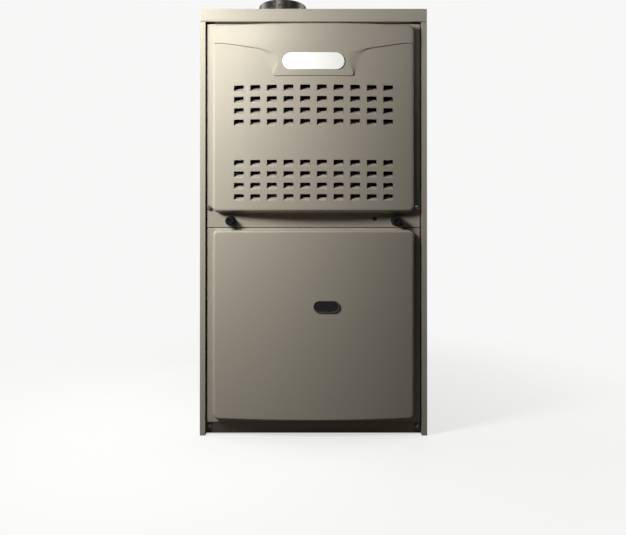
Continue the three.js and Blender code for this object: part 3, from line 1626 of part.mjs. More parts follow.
place('junction_box', junctionBox(), finish.galvanised);

// ---- Doors ----

// How far a raised panel stands out at a place across the door.
function rise(x) {
  const share = x / panelHalfWidth;
  return riseAtSide + (riseAtCentre - riseAtSide) * (1 - share * share);
}

// A panel bends a little at each line midway between two columns of louvres.
const foldLines = Array.from({ length: louvreColumns + 1 }, (_, line) => (
  (line - louvreColumns / 2) * louvreColumnPitch
));

// One ring of a door: a round-cornered rectangle, first along its top from left to right
// and then back along its base. The depth of a point may depend on its place across.
function doorRing(halfX, [base, top], radius, folds, depthAt) {
  const cornerSteps = 2;
  const half = [];
  for (let step = 0; step <= cornerSteps; step += 1) {
    const turn = Math.PI - Math.PI / 2 * step / cornerSteps;
    half.push([-halfX + radius + radius * Math.cos(turn), radius - radius * Math.sin(turn)]);
  }
  half.push(...folds.map((x) => [x, 0]));
  for (let step = 0; step <= cornerSteps; step += 1) {
    const turn = Math.PI / 2 - Math.PI / 2 * step / cornerSteps;
    half.push([halfX - radius + radius * Math.cos(turn), radius - radius * Math.sin(turn)]);
  }
  const along = (z) => ([x, drop]) => new THREE.Vector3(x, depthAt(x), z(drop));
  return [...half.map(along((drop) => top - drop)), ...half.reverse().map(along((drop) => base + drop))];
}

// A pressed door: a folded rim, a flat flange and a bowed panel that stands out of it.
function doorShell([base, top], [panelBase, panelTop], folds) {
  const outline = (inset, y) => doorRing(
    doorHalfWidth - inset,
    [base + inset, top - inset],
    rimCorner - inset / 2,
    folds,
    () => y,
  );
  const panel = (inset, depthAt) => doorRing(
    panelHalfWidth - inset,
    [panelBase + inset, panelTop - inset],
    Math.max(panelCorner - inset, rimCorner),
    folds,
    depthAt,
  );
  const filletSteps = 2;
  const skin = (offset) => {
    const radius = panelFillet - offset;
    const rings = [
      outline(offset, doorY + doorRim),
      outline(offset, doorY + offset),
      panel(offset, () => doorY + offset),
    ];
    for (let step = 0; step <= filletSteps; step += 1) {
      const turn = Math.PI / 2 * step / filletSteps;
      const inset = offset + wallDraft + radius * (1 - Math.cos(turn));
      rings.push(panel(inset, (x) => doorY - rise(x) + panelFillet - radius * Math.sin(turn)));
    }
    return rings;
  };
  return loft([...skin(0).reverse(), ...skin(sheet)]);
}

// A slab that follows the panel's bow, between two offsets from its face.
function bowedSlab([low, high], [base, top]) {
  const bends = [-headerSideX, ...foldLines, headerSideX];
  const edge = (offset) => bends.map((x) => [x, doorY - rise(x) - offset]);
  return prism('z', [...edge(high), ...edge(low).reverse()], [base, top]);
}

const headerTop = upperDoorTop - upperPanelTopMargin - wallDraft - panelFillet;
const headerSideX = panelHalfWidth - wallDraft - panelFillet;

// The header: two wings that slope down to a tab, raised above the rest of the face. The
// points run down the right half, with a blend of three points at each of the tab's corners.
function headerOutline(inset) {
  const wing = upperDoorTop - headerWingDrop + inset;
  const shoulder = wing - headerSlopeDrop;
  const base = upperDoorTop - headerBaseDrop + inset;
  const blend = headerCorner;
  const half = [
    [headerSideX, headerTop - inset], [headerSideX, wing],
    [headerSideX - headerFlat, wing], [headerTabTop + headerNeck, shoulder],
    [headerTabTop + blend / 2, shoulder - blend / 2], [headerTabTop, shoulder - 1.5 * blend],
    [headerTabBase + blend / 2, base + blend], [headerTabBase, base + blend / 4],
    [headerTabBase - blend, base],
  ].map(([x, z]) => [x - inset, z]);
  return [...half, ...half.map(([x, z]) => [-x, z]).reverse()];
}

function headerPad(inset, offsets) {
  const depth = [doorY - riseAtCentre - 2 * headerRise, doorY];
  const height = [upperDoorTop - headerBaseDrop - headerCorner, headerTop + headerCorner];
  return prism('y', headerOutline(inset), depth).intersect(bowedSlab(offsets, height));
}

// The windows and the lanced tongues of the louvres, each tongue bent inwards from its base.
function louvres() {
  const windows = [];
  const tongues = [];
  const tilt = THREE.MathUtils.degToRad(louvreTilt);
  const reach = sheet * louvreThinning / 2;
  const windowDepth = riseAtCentre - riseAtSide;
  const highestRow = upperDoorTop - louvreDrop;
  const lowestRow = upperDoorBase + upperPanelBaseMargin + louvreBase;
  const levels = Array.from({ length: louvreRows }, (_, row) => (
    [highestRow - row * louvreRowPitch, lowestRow + row * louvreRowPitch]
  )).flat();
  for (let column = 0; column < louvreColumns; column += 1) {
    const x = (column - (louvreColumns - 1) / 2) * louvreColumnPitch;
    const y = doorY - (rise(x - louvreColumnPitch / 2) + rise(x + louvreColumnPitch / 2)) / 2;
    levels.forEach((middle) => {
      const base = middle - louvreHeight / 2;
      windows.push(box(around(x, louvreWidth), around(y, windowDepth), [base, base + louvreHeight]));
      const root = [y + sheet / 2, base - sheet / 2];
      const tip = [y + louvreHeight * Math.sin(tilt), base + louvreHeight * Math.cos(tilt)];
      const section = [
        [root[0] + reach, root[1]],
        [root[0] - reach, root[1]],
        [tip[0] - reach, tip[1] + reach],
        tip,
      ];
      tongues.push(skewedPrism(section, around(x, louvreTongueWidth), rise(x - 1) - rise(x)));
    });
  }
  return { windows, tongues };
}

// A section in (y, z) extruded across the door and sheared to follow the panel's slope.
function skewedPrism(section, [from, to], slope) {
  const middle = (from + to) / 2;
  const end = (x) => section.map(([y, z]) => new THREE.Vector3(x, y + (x - middle) * slope, z));
  return loft([end(from), end(to)]);
}

function upperDoor() {
  const shell = doorShell(
    [upperDoorBase, upperDoorTop],
    [upperDoorBase + upperPanelBaseMargin, upperDoorTop - upperPanelTopMargin],
    foldLines,
  );
  const { windows, tongues } = louvres();
  const flangeRun = [doorY - sheet, doorY + 2 * sheet];
  const holes = [-1, 1].flatMap((side) => [
    rod('y', knobStem + 2 * gap, flangeRun, [side * knobX, 0, knobHeight], tinySides),
    screwHole(side * screwX, doorScrewHeight, flangeRun),
  ]);
  const spyHoleCentre = [doorHalfWidth - spyHoleInset, 0, upperDoorBase + spyHoleRise];
  const spyHole = rod('y', spyHoleRadius, flangeRun, spyHoleCentre);
  const raised = cut(
    join(shell, headerPad(0, [-sheet / 2, headerRise])),
    headerPad(sheet, [-2 * sheet, headerRise - sheet]),
  );
  return join(cut(raised, windows, holes, spyHole), tongues);
}

place('upper_door', upperDoor(), finish.paint);

const pillFlat = 0.01; // straight end left between a pill's two corner arcs

// The sight glass lies square to the bowed face, so its pieces are turned with the slope.
const sightGradient = 2 * (riseAtCentre - riseAtSide) * sightX / panelHalfWidth ** 2;
const sightSlope = THREE.MathUtils.radToDeg(Math.atan(sightGradient));
const sightFaceY = doorY - rise(sightX);

// A pill across the bowed face, from one depth behind the face to another.
function sightPill(margin, run) {
  const [length, width] = [sightLength - 2 * margin, sightWidth - 2 * margin];
  const outline = rounded(around(0, length), around(sightHeight, width), width / 2 - pillFlat);
  return prism('y', outline, run).rotate([0, 0, sightSlope]).translate([sightX, sightFaceY, 0]);
}

function lowerDoor() {
  const shell = doorShell(
    [lowerDoorBase, lowerDoorTop],
    [lowerDoorBase + lowerPanelBaseMargin, lowerDoorTop - lowerPanelTopMargin],
    foldLines.filter((_, line) => line % 2 === 1),
  );
  const tab = box(
    around(doorSwitchX, doorSwitchWidth),
    [doorY + doorRim - sheet, doorY + doorRim],
    [doorSwitchHeight - doorTabDrop, lowerDoorTop - sheet / 2],
  );
  return join(cut(shell, sightPill(sightRim, [-sightDepth, sightDepth])), tab);
}

place('lower_door', lowerDoor(), finish.paint);

// The bezel's lip covers the edge of the hole, and its barrel holds the glass.
function sightBezel() {
  const lipBack = -2 * gap;
  const lip = sightPill(0, [lipBack - sightLip, lipBack]);
  const barrel = sightPill(sightRim + gap, [lipBack - sightLip / 2, sightDepth]);
  return cut(join(lip, barrel), sightPill(2 * sightRim, [lipBack - 2 * sightLip, sightDepth + sheet]));
}

const sightGlass = sightPill(2 * sightRim + gap, [-sightLip, glassThickness - sightLip]);

place('sight_glass_bezel', sightBezel(), finish.darkSteel);
place('sight_glass', sightGlass, finish.smokedGlass);

// The bare badge plate follows the header's bow.
function badge() {
  const middle = upperDoorTop - badgeDrop;
  const outline = rounded(around(0, badgeWidth), around(middle, badgeHeight), badgeHeight / 2 - pillFlat);
  const seat = headerRise + gap;
  const slab = bowedSlab([seat, seat + badgeThickness], around(middle, 2 * badgeHeight));
  return prism('y', outline, [doorY - 2 * riseAtCentre, doorY], 3).intersect(slab);
}

place('badge', badge(), finish.whitePlate);

// A quarter-turn knob: a round head with a tail, and a bladed stem that reaches the rail.
function doorKnob(side) {
  const x = side * knobX;
  const centre = [x, 0, knobHeight];
  const backFace = doorY - gap;
  const front = backFace - knobDepth;
  const skirt = knobSkirt;
  const head = turned('y', [
    [0, front], [knobRadius - knobBevel, front], [knobRadius, front + knobBevel],
    [knobRadius, backFace - 2 * skirt], [knobRadius + skirt, backFace], [0, backFace],
  ], centre, mediumSides);
  const tail = turnedRoundY(prism(
    'y',
    rounded([x, x + knobTail], around(knobHeight, knobTailWidth), knobTailWidth / 2 - 2 * pillFlat),
    [front + knobBevel, backFace - 2 * skirt],
  ), -knobAngle, [x, knobHeight]);
  const bladeRun = [deckRailBackY + 2 * gap, deckRailBackY + 2 * gap + knobBladeWidth];
  const stem = rod('y', knobStem, [backFace - sheet, bladeRun[1]], centre, tinySides);
  const blade = turnedRoundY(
    box(around(x, knobBladeLength), bladeRun, around(knobHeight, knobBladeWidth)),
    -knobAngle,
    [x, knobHeight],
  );
  const socket = rod('y', knobRadius / 3, [front - sheet, front + knobSocketDepth], centre, tinySides);
  return cut(join(head, tail, stem, blade), socket);
}

// A hex head screw with a washer face. Its shank passes the stop behind the sheet.
function screw(x, z, seatY) {
  const seat = seatY - gap;
  const face = seat - screwWasherThickness;
  return join(
    rod('y', screwHead, [face - screwHeadHeight, seat - screwWasherThickness / 2], [x, 0, z], tinySides),
    rod('y', screwWasher, [face, seat], [x, 0, z]),
    rod('y', screwShank, [face, stopBackY + screwReach], [x, 0, z], tinySides),
  );
}

[[-1, 'left'], [1, 'right']].forEach(([side, name]) => {
  place(`knob_${name}`, doorKnob(side), finish.blackPlastic);
  place(`door_screw_${name}`, screw(side * screwX, doorScrewHeight, doorY), finish.zinc);
  const baseScrew = screw(side * screwX, baseScrewHeight, stopFrontY - gap - sheet);
  place(`base_screw_${name}`, baseScrew, finish.zinc);
});

export default furnace;
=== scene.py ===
"""Looks of the forced air furnace: painted doors and cabinet, flue, burners, blower and controls."""

import json
import math

import bmesh
import bpy
import numpy as np
from mathutils import Matrix, Vector
from mathutils.geometry import delaunay_2d_cdt

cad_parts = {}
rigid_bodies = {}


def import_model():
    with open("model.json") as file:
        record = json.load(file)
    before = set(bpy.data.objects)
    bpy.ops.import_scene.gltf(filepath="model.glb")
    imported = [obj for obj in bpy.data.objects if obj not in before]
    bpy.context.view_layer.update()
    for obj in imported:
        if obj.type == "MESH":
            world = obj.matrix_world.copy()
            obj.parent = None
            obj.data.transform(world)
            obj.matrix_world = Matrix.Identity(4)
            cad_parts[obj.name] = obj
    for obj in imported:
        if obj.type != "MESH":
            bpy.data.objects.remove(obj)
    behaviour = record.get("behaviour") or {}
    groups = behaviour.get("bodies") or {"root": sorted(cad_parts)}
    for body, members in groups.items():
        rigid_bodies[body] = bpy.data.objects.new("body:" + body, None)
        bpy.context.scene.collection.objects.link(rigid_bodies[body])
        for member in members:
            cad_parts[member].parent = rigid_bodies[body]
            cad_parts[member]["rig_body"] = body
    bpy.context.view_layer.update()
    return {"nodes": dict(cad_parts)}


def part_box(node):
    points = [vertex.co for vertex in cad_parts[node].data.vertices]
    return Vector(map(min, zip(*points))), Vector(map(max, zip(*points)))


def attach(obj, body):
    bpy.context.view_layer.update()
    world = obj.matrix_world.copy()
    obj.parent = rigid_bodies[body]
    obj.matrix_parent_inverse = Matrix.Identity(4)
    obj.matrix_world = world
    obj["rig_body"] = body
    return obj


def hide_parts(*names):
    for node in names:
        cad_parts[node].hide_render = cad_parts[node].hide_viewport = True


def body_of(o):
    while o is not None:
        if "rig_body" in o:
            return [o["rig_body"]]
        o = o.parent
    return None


bl_info = {
    "name": "Forced Air Furnace",
    "version": (1, 0, 0),
    "blender": (4, 5, 0),
    "location": "3D View > Sidebar > Furnace",
    "description": "Builds the doors, cabinet, flue, burners, blower and controls of a furnace",
    "category": "Add Mesh",
}

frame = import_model()
MM = 0.001


# ---- Places taken from the frame, in millimetres ----


def span(node):
    """Lowest and highest corner of a node, in millimetres."""
    low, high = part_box(node)
    return low / MM, high / MM


def middle(node):
    """Middle of a node's box, in millimetres."""
    return [(a + b) / 2 for a, b in zip(*span(node))]


CABINET_LOW, CABINET_HIGH = span("left_side_panel")
FRONT_Y = CABINET_LOW.y
HALF_WIDTH = -CABINET_LOW.x
CAP_Z = CABINET_HIGH.z + 1.3  # upper face of the top cap
UPPER_LOW, UPPER_HIGH = span("upper_door")
LOWER_LOW, LOWER_HIGH = span("lower_door")
DOOR_HALF_WIDTH = UPPER_HIGH.x
RIM_Y = UPPER_HIGH.y  # back edge of a door's folded rim
RIM_DEPTH = 12
DOOR_Y = RIM_Y - RIM_DEPTH  # front face of the doors' flanges
SCREW_X = middle("door_screw_right")[0]
SCREW_Z = UPPER_LOW.z + 38.8
KNOB_X = DOOR_HALF_WIDTH - 47
KNOB_Z = UPPER_LOW.z + 13
SPY_X = DOOR_HALF_WIDTH - 89.5  # the spy hole in the upper door's flange
SPY_Z = UPPER_LOW.z + 17
SIGHT_X = 25.0
SIGHT_Z = middle("sight_glass")[2]


# ---- Sizes and colours that a user would change ----


def length(name, description, default, low=0.0, high=2.0):
    return bpy.props.FloatProperty(
        name=name, description=description, default=default, min=low, max=high, precision=4,
        subtype="DISTANCE", unit="LENGTH",
    )


def angle(name, description, degrees, **limits):
    return bpy.props.FloatProperty(
        name=name, description=description, default=math.radians(degrees), subtype="ANGLE", unit="ROTATION",
        **limits,
    )


def number(name, description, default, unit="NONE"):
    return bpy.props.FloatProperty(name=name, description=description, default=default, unit=unit)


def whole(name, description, default, low, high):
    return bpy.props.IntProperty(name=name, description=description, default=default, min=low, max=high)


def colour(name, description, default):
    return bpy.props.FloatVectorProperty(
        name=name, description=description, default=default, size=3, min=0.0, max=1.0, subtype="COLOR"
    )


class FurnaceDoorSettings(bpy.types.PropertyGroup):
    """Sizes of the two pressed doors."""

    sheet: length("Sheet", "Thickness of the door's sheet steel", 0.001)
    side_margin: length("Side margin", "Flat flange beside a raised panel", 0.0125)
    upper_base_margin: length("Upper base margin", "Flange under the upper panel", 0.0295)
    upper_top_margin: length("Upper top margin", "Flange over the upper panel", 0.0038)
    lower_base_margin: length("Lower base margin", "Flange under the lower panel", 0.008)
    lower_top_margin: length("Lower top margin", "Flange over the lower panel", 0.003)
    side_rise: length("Side rise", "How far a panel stands out at its sides", 0.012)
    centre_rise: length("Centre rise", "How far a panel stands out at its middle", 0.027)
    corner: length("Panel corner", "Radius of a panel's corners", 0.012)
    fillet: length("Panel fillet", "Radius of the edge round a panel", 0.004)
    header_rise: length("Header rise", "How far the header stands out of the panel", 0.0018)
    columns: whole("Louvre columns", "Louvres in a row", 10, 1, 20)
    rows: whole("Louvre rows", "Rows in each of the two groups", 4, 1, 6)
    column_pitch: length("Column pitch", "From one louvre to the next along a row", 0.0322)
    row_pitch: length("Row pitch", "From one row of louvres to the next", 0.0221)
    louvre_width: length("Louvre width", "Width of a louvre's window", 0.0193)
    louvre_height: length("Louvre height", "Height of a louvre's window", 0.0125)
    tongue_width: length("Tongue width", "Width of the tongue bent in from a window", 0.0189)
    tongue_tilt: angle(
        "Tongue tilt", "Angle that a tongue is bent inwards", 53, min=0.0, max=math.radians(90)
    )


class FurnacePieceSettings(bpy.types.PropertyGroup):
    """Sizes of the smaller pieces."""

    badge_length: length("Badge length", "Length of the bare badge plate", 0.120)
    badge_height: length("Badge height", "Height of the bare badge plate", 0.033)
    sight_length: length("Sight glass length", "Length of the sight glass's rim", 0.051)
    sight_height: length("Sight glass height", "Height of the sight glass's rim", 0.0235)
    knob_radius: length("Knob radius", "Radius of a door knob's head", 0.009)
    bead_drop: length("Bead drop", "From the flue collar's end down to its bead", 0.012)
    blades: whole("Blower blades", "Blades in each half of the wheel", 52, 8, 80)


class FurnaceFinishSettings(bpy.types.PropertyGroup):
    """Colours of the finishes."""

    paint: colour("Paint", "Warm taupe grey of the cabinet and doors", (0.37, 0.345, 0.285))
    rail: colour("Bottom rail", "Bare steel of the bottom rail", (0.46, 0.385, 0.31))
    galvanised: colour("Galvanised", "Galvanised sheet inside the cabinet", (0.56, 0.57, 0.58))
    flue: colour("Flue", "Dark rolled steel of the flue collar", (0.045, 0.043, 0.046))
    badge: colour("Badge", "Off-white of the bare badge plate", (0.47, 0.485, 0.47))


class FurnaceStageSettings(bpy.types.PropertyGroup):
    """Camera, lamps and floor."""

    camera_distance: length("Camera distance", "From the camera to the cabinet's front", 1.183, 0.2, 6)
    camera_height: length("Camera height", "Height of the camera over the floor", 0.407, 0.0, 3)
    camera_pitch: angle("Camera pitch", "How far the camera looks up", 0.25)
    lens: number("Lens", "Focal length", 34.65, "CAMERA")
    shift_y: number("Shift", "Vertical shift of the camera's frame", -0.0673)
    key_power: number("Key power", "Power of the soft key lamp", 16.5, "POWER")
    side_power: number("Side power", "Power of the lamps beside and behind", 20.0, "POWER")
    sheen_power: number("Sheen power", "Power of the small lamp mirrored in the paint", 4.0, "POWER")
    ambient: number("Ambient", "Level of the light from all round", 0.01)


# ---- Nodes ----


def feed(tree, socket, value):
    """Links an input to another node's output, or sets its value."""
    if isinstance(value, bpy.types.NodeSocket):
        tree.links.new(value, socket)
    elif socket.type == "RGBA":
        socket.default_value = (*value, 1.0)
    else:
        socket.default_value = value


def add_node(tree, kind, inputs=(), **settings):
    """A new node with its settings, and its inputs fed by name or number."""
    node = tree.nodes.new(kind)
    for key, value in settings.items():
        setattr(node, key, value)
    for key, value in dict(inputs).items():
        feed(tree, node.inputs[key], value)
    return node


def math_node(tree, operation, *values, clamp=False):
    inputs = enumerate(values)
    return add_node(tree, "ShaderNodeMath", inputs, operation=operation, use_clamp=clamp).outputs[0]


def noise_node(tree, vector, scale, detail=3.0, roughness=0.5):
    inputs = {"Vector": vector, "Scale": scale, "Detail": detail, "Roughness": roughness}
    return add_node(tree, "ShaderNodeTexNoise", inputs).outputs["Fac"]


def range_node(tree, value, low, high, to_low=0.0, to_high=1.0, kind="LINEAR"):
    inputs = {"Value": value, "From Min": low, "From Max": high, "To Min": to_low, "To Max": to_high}
    return add_node(tree, "ShaderNodeMapRange", inputs, interpolation_type=kind).outputs["Result"]


def mix_colour(tree, factor, first, second):
    return add_node(tree, "ShaderNodeMix", {0: factor, 6: first, 7: second}, data_type="RGBA").outputs[2]


def mix_shader(tree, factor, first, second):
    return add_node(tree, "ShaderNodeMixShader", {0: factor, 1: first, 2: second}).outputs[0]


def object_vector(tree, stretch=None):
    place = add_node(tree, "ShaderNodeTexCoord").outputs["Object"]
    if stretch is None:
        return place
    return add_node(tree, "ShaderNodeMapping", {"Vector": place, "Scale": stretch}).outputs[0]


# ---- Shader groups ----


def shaded(tree, given, pattern, low, high, contrast):
    """A pattern centred on nought, and the given colour made lighter and darker by it."""
    centred = range_node(tree, pattern, low, high, -1.0)
    lift = math_node(tree, "MULTIPLY_ADD", centred, given[contrast], 1.0)
    tint = add_node(tree, "ShaderNodeVectorMath", {0: given["Colour"], "Scale": lift}, operation="SCALE")
    return centred, tint.outputs[0]


def cloud(tree, given):
    """Slow variation of a colour and its roughness, as in handled or fired surfaces."""
    noise = noise_node(tree, object_vector(tree), given["Scale"], detail=5.0, roughness=0.55)
    centred, tint = shaded(tree, given, noise, 0.25, 0.75, "Colour change")
    rough = math_node(tree, "MULTIPLY_ADD", centred, given["Roughness change"], given["Roughness"])
    return {"Colour": tint, "Roughness": rough, "Mask": noise}


def spangle(tree, given):
    """Crystal flakes of a galvanised coating: each flake has its own shade and gloss."""
    wobble, gloss = (0.006, 0.006, 0.006), 0.09
    vector = object_vector(tree)
    inputs = {0: noise_node(tree, vector, 160.0, detail=2.0), 1: wobble, 2: vector}
    shifted = add_node(tree, "ShaderNodeVectorMath", inputs, operation="MULTIPLY_ADD")
    cells = add_node(tree, "ShaderNodeTexVoronoi", {"Vector": shifted.outputs[0], "Scale": given["Scale"]})
    flake = add_node(tree, "ShaderNodeSeparateColor", {0: cells.outputs["Color"]}).outputs
    _, tint = shaded(tree, given, flake[0], 0.0, 1.0, "Contrast")
    rough = math_node(tree, "ADD", range_node(tree, flake[1], 0.0, 1.0, -gloss, gloss), given["Roughness"])
    return {"Colour": tint, "Roughness": rough, "Height": flake[2]}


def grain(tree, given):
    """Fine lines drawn along one direction by rolling, drawing or brushing."""
    broad_share, gloss = 0.6, 0.07
    vector = object_vector(tree, given["Stretch"])
    lines = noise_node(tree, vector, 900.0, detail=4.0, roughness=0.6)
    broad = noise_node(tree, vector, 110.0, detail=2.0)
    fine = math_node(tree, "MULTIPLY", lines, 1 - broad_share)
    both = math_node(tree, "MULTIPLY_ADD", broad, broad_share, fine)
    centred, tint = shaded(tree, given, both, 0.3, 0.7, "Contrast")
    rough = math_node(tree, "MULTIPLY_ADD", centred, gloss, given["Roughness"])
    return {"Colour": tint, "Roughness": rough, "Height": both}


def peel(tree, given):
    """The fine ripple of sprayed enamel or moulded plastic."""
    height = noise_node(tree, object_vector(tree), given["Scale"], detail=2.0, roughness=given["Softness"])
    return {"Height": height}


def dust(tree, given):
    """Thin dust on faces that look up, broken up by noise."""
    dust_colour, dulling = (0.42, 0.39, 0.34), 0.35
    normal = add_node(tree, "ShaderNodeNewGeometry").outputs["Normal"]
    upward = add_node(tree, "ShaderNodeSeparateXYZ", {0: normal}).outputs["Z"]
    upward = range_node(tree, upward, 0.35, 0.95, kind="SMOOTHSTEP")
    noise = noise_node(tree, object_vector(tree), 38.0, detail=5.0, roughness=0.65)
    patches = range_node(tree, noise, 0.35, 0.7, 0.35)
    amount = math_node(tree, "MULTIPLY", math_node(tree, "MULTIPLY", upward, patches), given["Amount"])
    rough = math_node(tree, "MULTIPLY_ADD", amount, dulling, given["Roughness"], clamp=True)
    return {"Colour": mix_colour(tree, amount, given["Colour"], dust_colour), "Roughness": rough}


GREY = (0.5, 0.5, 0.5, 1)
GROUPS = {
    # the function that fills the group, its name, and its inputs with their defaults
    "cloud": (cloud, "Cloudy finish", {"Colour": GREY, "Roughness": 0.5, "Scale": 6.0, "Colour change": 0.05,
                                       "Roughness change": 0.05}),
    "spangle": (spangle, "Zinc spangle", {"Colour": GREY, "Roughness": 0.4, "Scale": 90.0, "Contrast": 0.12}),
    "grain": (grain, "Drawn grain", {"Colour": GREY, "Roughness": 0.4, "Stretch": (1.0, 1.0, 0.05),
                                     "Contrast": 0.12}),
    "peel": (peel, "Orange peel", {"Scale": 420.0, "Softness": 0.4}),
    "dust": (dust, "Settled dust", {"Colour": GREY, "Roughness": 0.5, "Amount": 0.15}),
}
SOCKET_KINDS = {1: "NodeSocketFloat", 3: "NodeSocketVector", 4: "NodeSocketColor"}
groups = {}


def shader_group(kind):
    """The shader node group of a kind, with named sockets, made when it is first asked for."""
    if kind in groups:
        return groups[kind]
    fill, name, inputs = GROUPS[kind]
    tree = bpy.data.node_groups.new(name, "ShaderNodeTree")
    for label, value in inputs.items():
        socket = tree.interface.new_socket(label, in_out="INPUT", socket_type=SOCKET_KINDS[np.size(value)])
        socket.default_value = value
    results = fill(tree, tree.nodes.new("NodeGroupInput").outputs)
    for label in results:
        socket_type = SOCKET_KINDS[4 if label == "Colour" else 1]
        tree.interface.new_socket(label, in_out="OUTPUT", socket_type=socket_type)
    add_node(tree, "NodeGroupOutput", results)
    groups[kind] = tree
    return tree


# ---- Finishes ----


class Finish:
    """One material: a Principled shader, with the groups that vary it."""

    def __init__(self, slot, metallic=0.0, **fixed):
        material = bpy.data.materials.new(slot)
        material.use_nodes = True
        self.tree = material.node_tree
        self.tree.nodes.clear()
        inputs = {key.replace("_", " ").title(): value for key, value in fixed.items()}
        self.shader = add_node(self.tree, "ShaderNodeBsdfPrincipled", {"Metallic": metallic, **inputs})
        add_node(self.tree, "ShaderNodeOutputMaterial", {"Surface": self.shader.outputs[0]})
        self.normal = None

    def add(self, kind, **values):
        """Places a group with its own values and returns its outputs."""
        inputs = {key.replace("_", " ").capitalize(): value for key, value in values.items()}
        return add_node(self.tree, "ShaderNodeGroup", inputs, node_tree=shader_group(kind)).outputs

    def cloud(self, tint, roughness, scale, colour_change, roughness_change):
        return self.add("cloud", colour=tint, roughness=roughness, scale=scale, colour_change=colour_change,
                        roughness_change=roughness_change)

    def surface(self, given, tint=None):
        """Feeds the shader's colour and roughness from a group's outputs. A tint takes the colour's place."""
        feed(self.tree, self.shader.inputs["Base Color"], given["Colour"] if tint is None else tint)
        feed(self.tree, self.shader.inputs["Roughness"], given["Roughness"])

    def dusted(self, given, amount):
        """Feeds the shader from a group's outputs with thin dust on top."""
        self.surface(self.add("dust", colour=given["Colour"], roughness=given["Roughness"], amount=amount))

    def bump(self, height, distance, strength=1.0):
        """Adds one layer of bump to the shader's normal."""
        inputs = {"Distance": distance, "Strength": strength, "Height": height}
        if self.normal is not None:
            inputs["Normal"] = self.normal
        self.normal = add_node(self.tree, "ShaderNodeBump", inputs).outputs[0]
        feed(self.tree, self.shader.inputs["Normal"], self.normal)

    def peeled(self, scale, softness, distance, strength=1.0):
        """Adds a layer of ripple."""
        self.bump(self.add("peel", scale=scale, softness=softness)[0], distance, strength)


def painted(slot, tint, roughness, change=0.025, dust_amount=0.12, **fixed):
    """Sprayed and baked enamel: slightly cloudy, with a fine ripple and thin dust on top."""
    finish = Finish(slot, **fixed)
    finish.dusted(finish.cloud(tint, roughness, 5.0, change, 0.03), dust_amount)
    finish.peeled(scale=420.0, softness=0.4, distance=0.00004)


def moulded(slot, tint, roughness, change=0.04, distance=0.00003, scale=700.0, **fixed):
    """Moulded plastic, rubber or ceramic with a fine texture."""
    finish = Finish(slot, **fixed)
    finish.dusted(finish.cloud(tint, roughness, 30.0, change, 0.05), 0.1)
    finish.peeled(scale, softness=0.6, distance=distance)


def patterned(kind, slot, tint, roughness, metallic, distance, dust_amount, **values):
    """Metal with a pattern, such as a grain or spangle, that also stands a little out of it."""
    finish = Finish(slot, metallic)
    pattern = finish.add(kind, colour=tint, roughness=roughness, **values)
    finish.dusted(pattern, dust_amount)
    finish.bump(pattern["Height"], distance)


def drawn(slot, tint, roughness, metallic, stretch, contrast, dust_amount=0.1):
    """Rolled or drawn metal with a grain along one direction. On the flue, the strong streaks are also
    painted reflections.
    """
    patterned("grain", slot, tint, roughness, metallic, 0.00003, dust_amount, stretch=stretch,
              contrast=contrast)


def foil_finish():
    """Bright foil over glass wool, softly dented and finely creased."""
    finish = Finish("foil", metallic=0.9)
    finish.surface(finish.cloud((0.72, 0.73, 0.74), 0.28, 14.0, 0.08, 0.08))
    finish.peeled(scale=26.0, softness=0.7, distance=0.004, strength=0.6)
    finish.peeled(scale=170.0, softness=0.7, distance=0.0006, strength=0.7)


def cast_finish():
    """Die-cast aluminium with a fine sandy skin."""
    finish = Finish("cast_aluminium", metallic=0.75)
    finish.dusted(finish.cloud((0.50, 0.51, 0.52), 0.48, 22.0, 0.07, 0.06), 0.2)
    finish.peeled(scale=1500.0, softness=0.7, distance=0.00008)


def fired_finish():
    """Aluminised steel that has been warm: dull, with a light straw and grey cloud."""
    finish = Finish("aluminised_steel", metallic=0.72)
    straw = (0.33, 0.27, 0.20)
    steel = finish.cloud((0.44, 0.43, 0.41), 0.46, 9.0, 0.14, 0.08)
    warmth = range_node(finish.tree, steel["Mask"], 0.45, 0.7, 0.0, 0.45)
    finish.surface(steel, mix_colour(finish.tree, warmth, steel["Colour"], straw))
    finish.peeled(scale=900.0, softness=0.6, distance=0.00003)


def board_finish():
    """A green circuit board whose components, in front of its face, are dark and pale blocks."""
    dark, pale, pale_from = (0.018, 0.018, 0.02), (0.42, 0.40, 0.36), 0.72
    face = span("control_board")[1].y - 2.4
    finish = Finish("circuit_board")
    tree = finish.tree
    green = finish.cloud((0.012, 0.11, 0.045), 0.35, 30.0, 0.1, 0.05)
    depth = add_node(tree, "ShaderNodeSeparateXYZ", {0: object_vector(tree)}).outputs["Y"]
    raised = math_node(tree, "LESS_THAN", depth, face * MM)
    flat = object_vector(tree, (1.0, 0.0, 1.0))
    cells = add_node(tree, "ShaderNodeTexVoronoi", {"Scale": 26.0, "Vector": flat})
    shade = add_node(tree, "ShaderNodeSeparateColor", {0: cells.outputs["Color"]}).outputs[0]
    parts = mix_colour(tree, math_node(tree, "GREATER_THAN", shade, pale_from), dark, pale)
    finish.surface(green, mix_colour(tree, raised, green["Colour"], parts))
    finish.peeled(scale=1400.0, softness=0.7, distance=0.00003)


